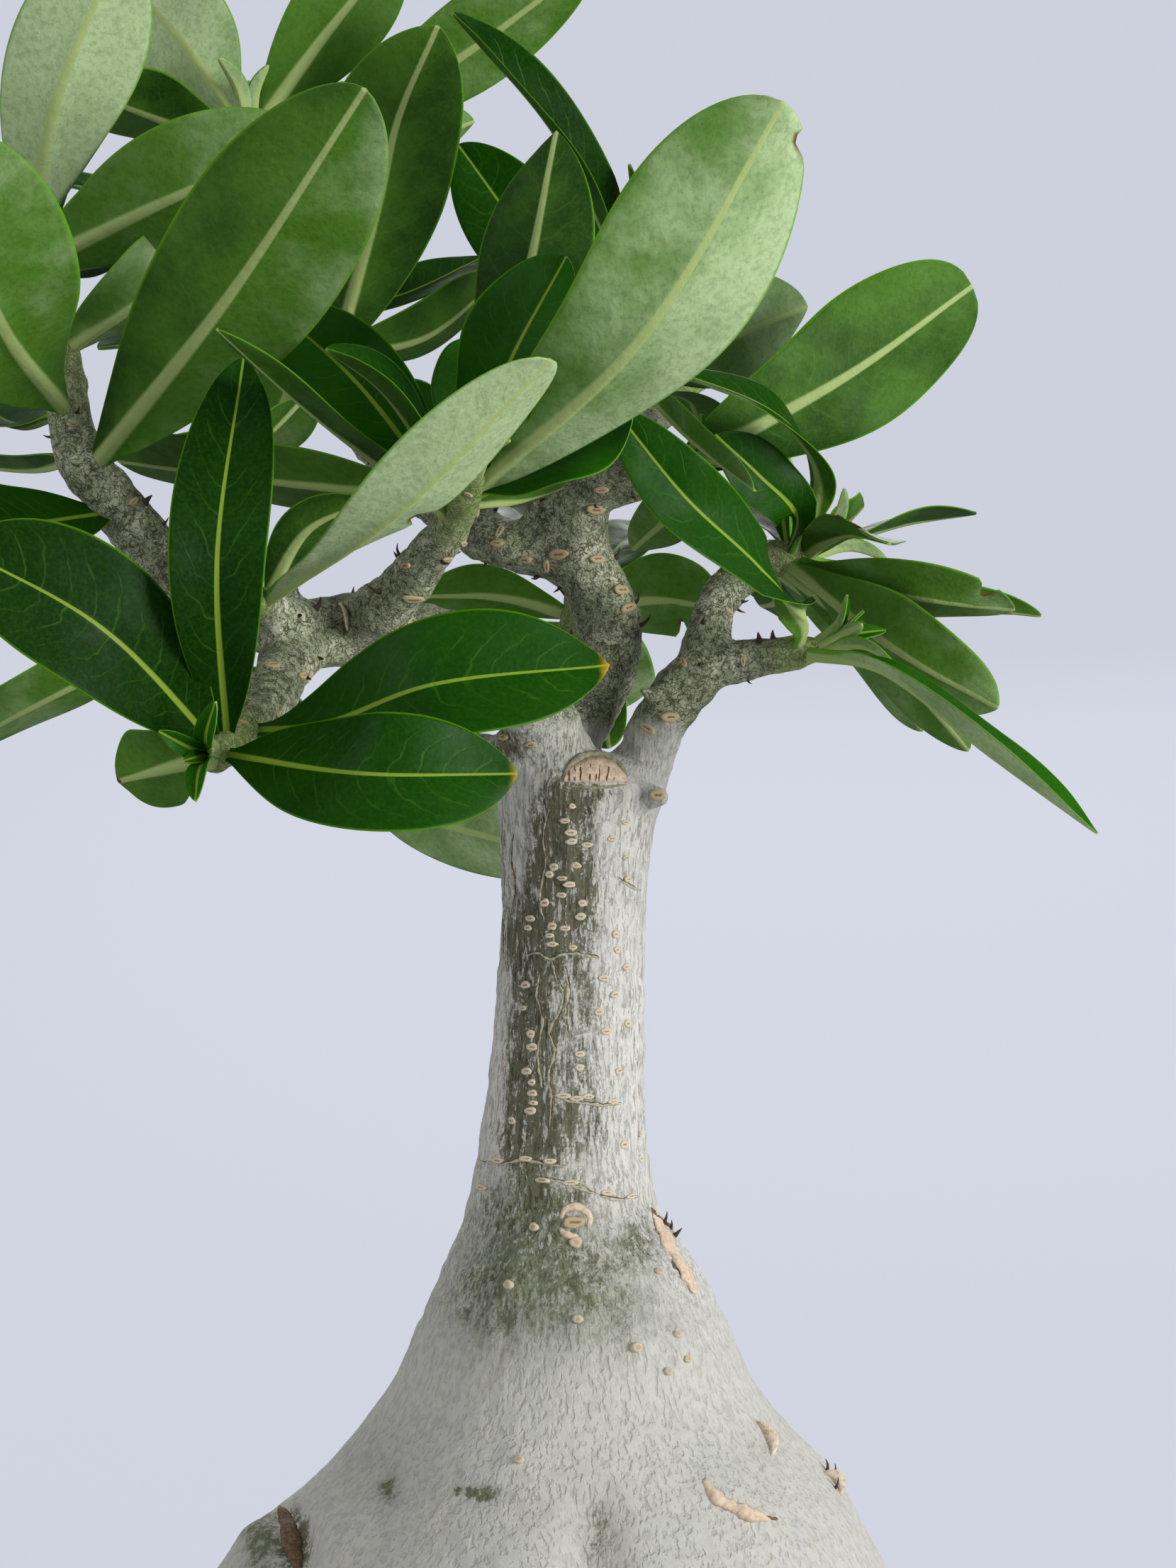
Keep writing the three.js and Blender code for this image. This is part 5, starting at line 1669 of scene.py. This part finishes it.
# Given tones partly paint the light and shade on a leaf, and leans paint a lit and a shaded half; bites and
# yellow or brown tips are real wear.
LEAF_WEAR_AND_PAINTED_LIGHT = {
    ("front_left", 0): WearAndPaintedLight(tone=0.74, lean=-0.16, bites=((-1, 0.95, 0.22, 0.016),)),
    ("front_left", 2): WearAndPaintedLight(tone=0.05),
    ("left_inner", 0): WearAndPaintedLight(tone=1.0, bites=((-1, 0.52, 0.3, 0.03),)),
    ("upper_left", 0): WearAndPaintedLight(tone=0.42, lean=-0.2),
    ("upper_left", 1): WearAndPaintedLight(tone=0.55),
    ("upper_left", 9): WearAndPaintedLight(tone=1.0),
    ("high_left", 0): WearAndPaintedLight(tone=0.25, lean=0.15),
    ("high_left", 1): WearAndPaintedLight(tone=0.9),
    ("high_left", 3): WearAndPaintedLight(tone=0.4),
    ("high_left", 4): WearAndPaintedLight(tone=0.5),
    ("centre_stub", 0): WearAndPaintedLight(tone=0.25, lean=0.06),
    ("back_left", 0): WearAndPaintedLight(tone=0.8),
    ("left_low", 0): WearAndPaintedLight(tone=0.1),
    ("left_low", 1): WearAndPaintedLight(tone=0.1),
    ("left_low", 2): WearAndPaintedLight(brown=1.0, tone=0.35),
    ("left_low", 3): WearAndPaintedLight(yellow=1.0, tone=0.45),
    ("left_low", 4): WearAndPaintedLight(yellow=0.7, tone=0.35),
    ("right_high", 7): WearAndPaintedLight(tone=0.5, bites=((1, 0.84, 0.5, 0.03),)),
    ("right_high", 3): WearAndPaintedLight(bites=((1, 0.7, 0.25, 0.03), (1, 0.85, 0.35, 0.03))),
    ("right_high", 11): WearAndPaintedLight(tone=0.5),
    ("right_low", 1): WearAndPaintedLight(tone=0.8),
    ("back", 0): WearAndPaintedLight(tone=0.45),
    ("back", 1): WearAndPaintedLight(tone=0.5, bites=((-1, 0.62, 0.4, 0.035),)),
    ("centre", 0): WearAndPaintedLight(bites=((1, 0.4, 0.2, 0.03),)),
}


@dataclass(frozen=True)
class Section:
    """The cross section of a leaf at one place of its midrib."""

    centre: Vector
    up: Vector
    side: Vector
    half: float
    flare: float
    rib: float


BLADE_NUMBERS = ("share", "across", "half_width", "burnt")


def leafy_mesh() -> bmesh.types.BMesh:
    """An empty mesh for leaves, with the layers that their material reads."""
    mesh = bmesh.new()
    for kind in BLADE_NUMBERS:
        mesh.verts.layers.float.new(kind)
    mesh.verts.layers.float_color.new("tone")
    mesh.loops.layers.uv.new("blade")
    return mesh


class Blade:
    """One leaf as a closed thin solid with a midrib."""

    STATIONS = 44
    TIP_CROWDING = 1.35
    COLUMNS = (-1.0, -0.93, -0.8, -0.6, -0.4, -0.22, -0.09, 0.0, 0.09, 0.22, 0.4, 0.6, 0.8, 0.93, 1.0)
    THICKNESS = 0.75
    RIB_DEPTH = 2.0
    PETIOLE = 2.1
    TIP = 0.5
    LIFT = 6.0
    TIP_FRESHER = 0.16
    QUILT_SCALE = 0.09
    QUILT = 0.55
    GROOVE = 0.9

    def __init__(
        self, root: Vector, plan: Leaf, wear: WearAndPaintedLight, draw: random.Random, passed: Sequence[Vector] = ()
    ) -> None:
        """Takes the leaf's plan and draws what the plan leaves open.

        Args:
            root: Where the midrib starts, inside the shoot.
            plan: The leaf's plan.
            wear: What marks it out.
            draw: Source of what the plan leaves open.
            passed: Points that the midrib passes, where the plan names none.
        """
        self.plan, self.wear = plan, wear
        self.blunt = 0.55 + 0.25 * draw.random() if plan.blunt is None else plan.blunt
        drawn_fold = 8 + 6 * draw.random()
        self.fold = math.radians(drawn_fold if plan.fold is None else plan.fold)
        self.waves = 1.2 + draw.random()
        self.phase = 2 * math.pi * draw.random()
        self.wave_height = plan.width * (0.02 + 0.03 * draw.random())
        drawn_tone = draw.uniform(0.1, 0.7)
        # A given tone partly paints the light or shade on the leaf; a drawn tone only varies its green.
        self.tone = drawn_tone if wear.tone is None else wear.tone
        self.seed = Vector((draw.uniform(0, 90), draw.uniform(0, 90), draw.uniform(0, 90)))
        if plan.midrib:
            passed = [EYE.seen(*point) for point in plan.midrib]
        elif plan.reach is not None:
            reach = Vector(plan.reach)
            passed = [root + reach * 0.5 + Vector((0, 0, self.LIFT)), root + reach]
        self.spine = Line([root, *passed])

    def _outline(self, share: float) -> float:
        """Half width at a share of the length, as a share of the full width."""
        rise = self.blunt * self.plan.widest / (1 - self.plan.widest)

        def shape(at: float) -> float:
            """Unscaled outline."""
            return at**rise * (1 - at) ** self.blunt

        return 0.5 * shape(share) / shape(self.plan.widest)

    def _section(self, share: float) -> Section:
        """Cross section at a share of the length."""
        along = self.spine.tangent(share)
        facing = Vector(self.plan.facing)
        up = (facing - along * facing.dot(along)).normalized()
        up = Matrix.Rotation(math.radians(self.plan.twist * share), 3, along) @ up
        least = self.PETIOLE if share < 0.5 else self.TIP * (0.35 if share > 0.999 else 1.0)
        half = max(self.plan.width * self._outline(share), least)
        rib = self.RIB_DEPTH * (1 - share) ** 0.8
        return Section(self.spine.point(share), up, along.cross(up), half, min(1.0, half / 6), rib)

    def _surface(self, section: Section, across: float, share: float, under: bool) -> Vector:
        """A point of the upper or the under side.

        Args:
            section: Cross section that the point lies in.
            across: Place from -1 to 1 across the blade.
            share: Share of the leaf's length.
            under: Whether the point is on the under side.

        Returns:
            The point in millimetres.
        """
        narrowing = 1.0
        for side, middle, depth, reach in self.wear.bites:
            if across * side > 0:
                narrowing -= depth * math.exp(-(((share - middle) / reach) ** 4))
        off = abs(across)
        beside = across * section.half * narrowing
        turn = 2 * math.pi * self.waves * share + self.phase + across
        wave = section.flare * self.wave_height * math.sin(turn)
        rise = off**1.2 * section.half * math.sin(self.fold) + wave * off**1.6
        quilt = noise.noise(self.seed + Vector((beside, share * self.spine.length, 0)) * self.QUILT_SCALE)
        rise += self.QUILT * section.flare * quilt * math.sin(math.pi * min(off, 1.0)) ** 0.7
        from_rib = abs(beside)
        body = self.THICKNESS / 2 * max(0.35, (1 - off**6) ** 0.5)
        if under:
            spread = 1.3 + 1.2 * (1 - share)
            rise -= body + section.rib * (math.exp(-((from_rib / spread) ** 2)) + 0.4 * (1 - section.flare))
        else:
            rise += body - 0.3 * section.flare * math.exp(-((from_rib / self.GROOVE) ** 2))
        return section.centre + section.side * (beside * math.cos(self.fold)) + section.up * rise

    def add_to(self, target: bmesh.types.BMesh) -> None:
        """Adds the leaf to its shoot's mesh."""
        blade = leafy_mesh()
        last = len(self.COLUMNS) - 1
        bmesh.ops.create_grid(blade, x_segments=self.STATIONS, y_segments=last, size=0.5)
        shares, sides, halves, burnt = (blade.verts.layers.float[kind] for kind in BLADE_NUMBERS)
        tones = blade.verts.layers.float_color["tone"]
        plan = blade.loops.layers.uv["blade"]
        for vert in blade.verts:
            vert[shares] = 1 - (0.5 - vert.co.x) ** self.TIP_CROWDING
            vert[sides] = self.COLUMNS[last - round((vert.co.y + 0.5) * last)]
        upper = set(blade.faces)
        made = bmesh.ops.extrude_face_region(blade, geom=blade.faces[:], use_keep_orig=True)
        lower = {part for part in made["geom"] if isinstance(part, bmesh.types.BMVert)}
        sections = {}
        for vert in blade.verts:
            share = vert[shares]
            key = round(share, 5)
            if key not in sections:
                sections[key] = self._section(min(share, 1.0))
            vert.co = self._surface(sections[key], vert[sides], share, vert in lower)
            vert[halves] = sections[key].half
            # The tone at each point adds the lean, painted light on one half of the blade and painted shade
            # on the other, and rises towards the tip.
            tone = self.tone + self.wear.lean * vert[sides] + self.TIP_FRESHER * (share - 0.5)
            vert[tones] = (min(max(tone, 0.0), 1.0), self.wear.yellow, self.wear.brown, 1.0)
            for side, middle, _, reach in self.wear.bites:
                near = math.exp(-(((share - middle) / (reach * 1.15)) ** 4))
                if vert[sides] * side > 0.85 and near > 0.3:
                    vert[burnt] = near
        for face in blade.faces:
            face.material_index = Side.UPPER.value if face in upper else Side.UNDER.value
            for loop in face.loops:
                loop[plan].uv = (0.5 + loop.vert[sides] / 2, loop.vert[shares])
        bmesh.ops.recalc_face_normals(blade, faces=blade.faces[:])
        move_into(target, blade)


@dataclass
class Foliage:
    """All leaves of the plant, one piece for each leafy shoot."""

    wood: Wood
    # Each side's green runs from deep to fresh by the leaf's tone, so the deep end also paints shade and the
    # fresh end also paints light.
    upper: LeafFinish = LeafFinish(
        side=Side.UPPER, deep_and_shaded=shade(10, 48, 2), usual=shade(22, 74, 2), fresh_and_lit=shade(40, 106, 4),
        vein=shade(84, 140, 34), rib=shade(146, 176, 58), lit=shade(96, 158, 12), gloss=0.42, veins_show=0.24,
        rib_width=1.0, shine=0.1, vein_depth=-0.16, quilt_depth=0.3, flecks=0.1,
    )
    # The under side's pale fresh green is mostly painted light on lit blades, and its deep green painted
    # shade on blades in shade.
    under: LeafFinish = LeafFinish(
        side=Side.UNDER, deep_and_shaded=shade(26, 68, 2), usual=shade(86, 136, 38), fresh_and_lit=shade(197, 221, 167),
        vein=shade(122, 154, 84), rib=shade(186, 206, 132), lit=shade(104, 168, 12), gloss=0.6,
        veins_show=0.14, rib_width=2.5, shine=0.2, vein_depth=0.06, quilt_depth=0.9, flecks=0.26,
    )
    bud_leaves: int = 5

    def _bud(self, target: bmesh.types.BMesh, limb: Limb, draw: random.Random) -> None:
        """The young leaves still folded round the growing tip."""
        tip, along = limb.line.point(0.985), limb.line.tangent(1.0)
        along = (along + Vector((0, 0, 0.35))).normalized()
        side = along.orthogonal().normalized()
        for index in range(self.bud_leaves):
            out = Matrix.Rotation(2.4 * index + draw.uniform(-0.3, 0.3), 3, along) @ side
            length = draw.uniform(11, 19) + 2.5 * index
            splay = 0.22 + 0.1 * index
            bend = tip + along * length * 0.55 + out * length * splay * 0.35
            end = tip + along * length * (1 - 0.25 * splay) + out * length * splay
            plan = Leaf(1.0, (), length * 0.27, tuple(along * 0.4 - out), fold=26, widest=0.58)
            Blade(tip, plan, WearAndPaintedLight(tone=0.8), draw, (bend, end)).add_to(target)

    def dress(self) -> None:
        """Makes every leafy shoot."""
        materials = [self.upper.material(), self.under.material()]
        for order, name in enumerate(SHOOTS):
            draw = random.Random(2000 + order)
            limb = self.wood.limbs[name]
            shoot = leafy_mesh()
            for index, plan in enumerate(LEAVES[name]):
                wear = LEAF_WEAR_AND_PAINTED_LIGHT.get((name, index), WearAndPaintedLight())
                Blade(limb.line.point(plan.at), plan, wear, draw).add_to(shoot)
            self._bud(shoot, limb, draw)
            finish_piece(f"leaves_{name}", shoot, materials, [f"shoot_{name}"])


THROWING_RINGS = ((0.28, 0.95, 0.0), (0.2, 0.37, 1.0))


@dataclass
class Pot:
    """A plain round stoneware pot with drain holes."""

    height: float = 130.0
    foot: float = 104.0
    rim: float = 140.0
    wall: float = 7.0
    floor: float = 10.0
    sides: int = 128
    drain_radius: float = 6.0
    drain_circle: float = 58.0

    def outer(self, height: float) -> float:
        """Radius of the outside at a height."""
        return self.foot + (self.rim - 3 - self.foot) * height / self.height

    def inner(self, height: float) -> float:
        """Radius of the inside at a height."""
        return self.outer(height) - self.wall

    def _profile(self) -> list[tuple[float, float]]:
        """Radius and height round the wall, from the foot's centre to the floor's centre."""
        top, rim = self.height, self.rim
        wall = [(0, 0), (self.foot - 9, 0), (self.foot - 4, 0), (self.foot - 2, 0.4), (self.foot - 0.6, 1.8)]
        for step in range(2, 58):
            height = (top - 14) * step / 57
            throw = sum(rise * math.sin(height * rate + start) for rise, rate, start in THROWING_RINGS)
            wall.append((self.outer(height) + throw, height))
        wall += [(rim - 2.2, top - 12.4), (rim - 0.9, top - 11.6), (rim - 0.2, top - 10.4), (rim, top - 8)]
        wall += [(rim, top - 4), (rim - 0.4, top - 2), (rim - 1.4, top - 0.7)]
        wall += [(rim - 3, top), (rim - 6.4, top)]
        wall += [(rim - 8, top - 0.6), (rim - 9.2, top - 2), (rim - 9.8, top - 4)]
        for step in range(20, 0, -1):
            height = self.floor + 6 + (top - 14 - self.floor - 6) * step / 20
            wall.append((self.inner(height), height))
        low = self.floor
        inner = self.inner(low)
        wall += [(self.inner(low + 3) - 0.6, low + 3.2), (inner - 2.6, low + 0.8), (inner - 5, low)]
        return [*wall, (0, low)]

    def _drilled(self, mesh: bpy.types.Mesh) -> bpy.types.Mesh:
        """Cuts the drain holes through the floor."""
        drills = bmesh.new()
        for hole in range(4):
            turn = math.pi * (hole + 0.5) / 2
            place = Vector((self.drain_circle * math.cos(turn), self.drain_circle * math.sin(turn), 0))
            bmesh.ops.create_cone(
                drills, cap_ends=True, segments=40, radius1=self.drain_radius, radius2=self.drain_radius,
                depth=self.floor * 3, matrix=Matrix.Translation(place),
            )
        holder, drill = placed("turned_clay", mesh), placed("drills", settled("drills", drills))
        cut = holder.modifiers.new("drain", "BOOLEAN")
        cut.operation = "DIFFERENCE"
        cut.solver = "EXACT"
        cut.object = drill
        drilled = baked(holder)
        for item in (holder, drill):
            data = item.data
            bpy.data.objects.remove(item)
            bpy.data.meshes.remove(data)
        return drilled

    def dress(self) -> None:
        """Makes the pot."""
        mesh = self._drilled(turned("turned_clay", self._profile(), self.sides, 1e-3))
        pot = finish_piece("stoneware_pot", mesh, [StonewareFinish().material()], ["pot"])
        pot.data.set_sharp_from_angle(angle=math.radians(40))


@dataclass
class PottingMix:
    """Potting mix that fills the pot round the caudex, with loose grit on top."""

    pot: Pot
    top: float = 112.0
    sides: int = 144
    pieces: int = 1150
    gap: float = 0.9
    low: float = 62.6
    heap: float = 3.2

    def _trunk_edges(self, height: float) -> Pair:
        """Left and right edge of the caudex at a height, before its swellings."""
        upper = next(index for index, level in enumerate(TRUNK_LEVELS) if level[2] >= height)
        above, below = TRUNK_LEVELS[upper], TRUNK_LEVELS[max(upper - 1, 0)]
        part = (height - below[2]) / max(above[2] - below[2], 1e-6)
        return below[0] + (above[0] - below[0]) * part, below[1] + (above[1] - below[1]) * part

    def _surface(self, x: float, y: float, share: float) -> float:
        """Height of the top, which heaps up a little towards the caudex."""
        lumps = noise.noise(Vector((x * 0.05, y * 0.05, 3))) * 1.5
        lumps += noise.noise(Vector((x * 0.3, y * 0.3, 1))) * 0.8
        return self.top + self.heap * share + lumps

    def _ring(self, radius: float, height: float) -> list[Vector]:
        """A level ring about the pot's axis."""
        turns = [2 * math.pi * side / self.sides for side in range(self.sides)]
        return [Vector((radius * math.cos(turn), radius * math.sin(turn), height)) for turn in turns]

    def _trunk_ring(self, height: float) -> list[Vector]:
        """A level ring just inside the caudex."""
        return caudex_ring(*self._trunk_edges(height), height, self.sides, self.gap)

    def _bed(self) -> bmesh.types.BMesh:
        """The body of the mix: up the pot's wall, over the top and down beside the caudex."""
        pot, bottom = self.pot, self.pot.floor + 0.35
        rings = [self._ring(4, bottom), self._ring(pot.inner(bottom) - 7, bottom)]
        rings += [self._ring(pot.inner(height) - 0.45, height) for height in (bottom + 6, 40, 70, 100)]
        outer = self._ring(pot.inner(self.top) - 0.5, self.top - 1)
        inner = self._trunk_ring(self.top + 2)
        for step in range(17):
            share = step / 16
            ring = [edge.lerp(core, share) for edge, core in zip(outer, inner)]
            for place in ring:
                place.z = self._surface(place.x, place.y, share)
            rings.append(ring)
        rings += [self._trunk_ring(height) for height in (106, 96, 84, 72, 66, self.low)]
        soil = bmesh.new()
        add_tube(soil, [*rings, self._ring(4, self.low)])
        return soil

    def _add_stone(self, loose: bmesh.types.BMesh, size: Pair, draw: random.Random) -> None:
        """Adds one loose crumb or stone on top of the mix.

        Args:
            loose: Mesh that receives it.
            size: Least and greatest radius.
            draw: Source of its place, turn and form.
        """
        bearing = draw.uniform(0, 360)
        left, right = self._trunk_edges(self.top + 2)
        turn, part = math.radians(bearing), draw.random()
        near = caudex_reach(left, right, bearing, self.top + 2) + 2.5 + (left + right) / 2 * math.cos(turn)
        radius = near + (self.pot.inner(self.top) - 3 - near) * part**0.8
        x, y, thick = radius * math.cos(turn), radius * math.sin(turn), draw.uniform(*size)
        place = Vector((x, y, self._surface(x, y, 1 - part) + thick * 0.15))
        frame = Matrix.Translation(place) @ Matrix.Rotation(draw.uniform(0, 3), 4, "Z")
        frame = frame @ Matrix.Rotation(draw.uniform(0, 3), 4, "X")
        frame = frame @ Matrix.Diagonal((draw.uniform(0.8, 1.5), 1, draw.uniform(0.45, 0.9), 1))
        stone = bmesh.ops.create_icosphere(loose, subdivisions=2, radius=thick)
        for vert in stone["verts"]:
            vert.co *= 1 + 0.28 * noise.noise(vert.co * (1.1 / thick) + place)
        bmesh.ops.transform(loose, matrix=frame, verts=stone["verts"])

    def dress(self) -> None:
        """Makes the mix and the grit on it."""
        tones = (shade(52, 40, 30), shade(86, 66, 48), shade(112, 92, 70))
        material = GritFinish("potting_mix", tones).material()
        finish_piece("potting_mix_bed", self._bed(), [material], ["potting_mix"])
        draw = random.Random(77)
        woody = (shade(74, 52, 36), shade(112, 80, 54), shade(60, 44, 32))
        stony = (shade(196, 186, 168), shade(160, 148, 130), shade(222, 216, 204))
        for name, share, size, shades in (
            ("bark_crumbs", 0.55, (1.4, 3.4), woody),
            ("pale_grit", 0.45, (1.0, 2.6), stony),
        ):
            loose = bmesh.new()
            for _ in range(round(self.pieces * share)):
                self._add_stone(loose, size, draw)
            finish_piece(name, loose, [GritFinish(name, shades).material()])


@dataclass(frozen=True)
class Lamp:
    """A square soft light: its place and size in metres, its power in watts and its colour."""

    name: str
    place: Triple
    size: float
    power: float
    colour: Triple


LAMPS = (
    Lamp("key", (1.75, -1.05, 0.62), 0.9, 47.0, (1.0, 0.995, 0.98)),
    Lamp("fill", (-1.5, -1.3, 0.9), 1.4, 12.0, (1.0, 0.99, 0.96)),
    Lamp("glow", (0.3, 2.6, 1.6), 1.6, 42.0, (1.0, 1.0, 0.98)),
)


@dataclass
class Studio:
    """A plain pale room with soft lights, the strongest from the right."""

    flat: float = 1.2
    curve: float = 3.4
    height: float = 4.4
    curve_steps: int = 24
    round_steps: int = 96
    aim: Triple = (0.0, 0.0, 0.42)
    ground: Colour = shade(70, 71, 75)
    tint: Colour = shade(200, 204, 216)
    shadow_reach: float = 0.16
    shadow_tone: float = 0.45
    sky: Colour = (0.94, 0.96, 1.0, 1.0)
    sky_strength: float = 0.4
    lens: float = 68.12

    def _backdrop(self) -> None:
        """A pale glowing floor that curves up into a wall all round, open at the top, whose glow dims near
        the pot as a painted contact shadow.
        """
        profile = [(0.0, 0.0), (0.5, 0.0), (self.flat, 0.0)]
        for step in range(1, self.curve_steps + 1):
            turn = math.pi / 2 * step / self.curve_steps
            profile.append((self.flat + self.curve * math.sin(turn), self.curve * (1 - math.cos(turn))))
        profile.append((self.flat + self.curve, self.height))
        mesh = smoothed(turned("backdrop", profile, self.round_steps, 1e-5))
        paint = Paint("backdrop")
        # Painted shadow: the glow dims where nearby things close the space over the floor.
        strength = paint.span(paint.openness(self.shadow_reach), 0.0, 1.0, self.shadow_tone, 1.0)
        surface = paint.skin(
            self.ground, 0.95, Specular_IOR_Level=0.0, Emission_Color=self.tint, Emission_Strength=strength
        )
        mesh.materials.append(paint.done(surface))
        backdrop = placed("backdrop", mesh)
        backdrop.visible_diffuse = False
        backdrop.visible_glossy = False

    def light(self) -> None:
        """Sets the backdrop, the lights and the sky."""
        self._backdrop()
        for lamp in LAMPS:
            light = bpy.data.lights.new(lamp.name, "AREA")
            light.size, light.energy, light.color = lamp.size, lamp.power, lamp.colour
            source = placed(lamp.name, light)
            source.location = lamp.place
            aimed = Vector(self.aim) - Vector(lamp.place)
            source.rotation_euler = aimed.to_track_quat("-Z", "Y").to_euler()
            source.visible_camera = False
        world = bpy.data.worlds.new("sky")
        world.use_nodes = True
        sky = next(node for node in world.node_tree.nodes if node.type == "BACKGROUND")
        sky.inputs["Color"].default_value = self.sky
        sky.inputs["Strength"].default_value = self.sky_strength
        bpy.context.scene.world = world

    def camera(self) -> None:
        """Stands the camera where the photograph was taken from."""
        lens = bpy.data.cameras.new("camera")
        lens.sensor_width = 36.0
        lens.lens = self.lens
        camera = placed("camera", lens)
        camera.location = EYE.position * MM
        camera.rotation_euler = (math.pi / 2, 0.0, 0.0)
        bpy.context.scene.camera = camera
        bpy.context.scene.view_settings.view_transform = "Standard"


def main() -> None:
    """Builds and dresses the plant in its pot."""
    logging.basicConfig(level=logging.INFO, format="%(message)s")
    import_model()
    pot = Pot()
    pot.dress()
    PottingMix(pot).dress()
    wood = Wood()
    wood.dress()
    BarkMarks(wood).dress()
    Foliage(wood).dress()
    studio = Studio()
    studio.light()
    studio.camera()


if __name__ == "__main__":
    main()
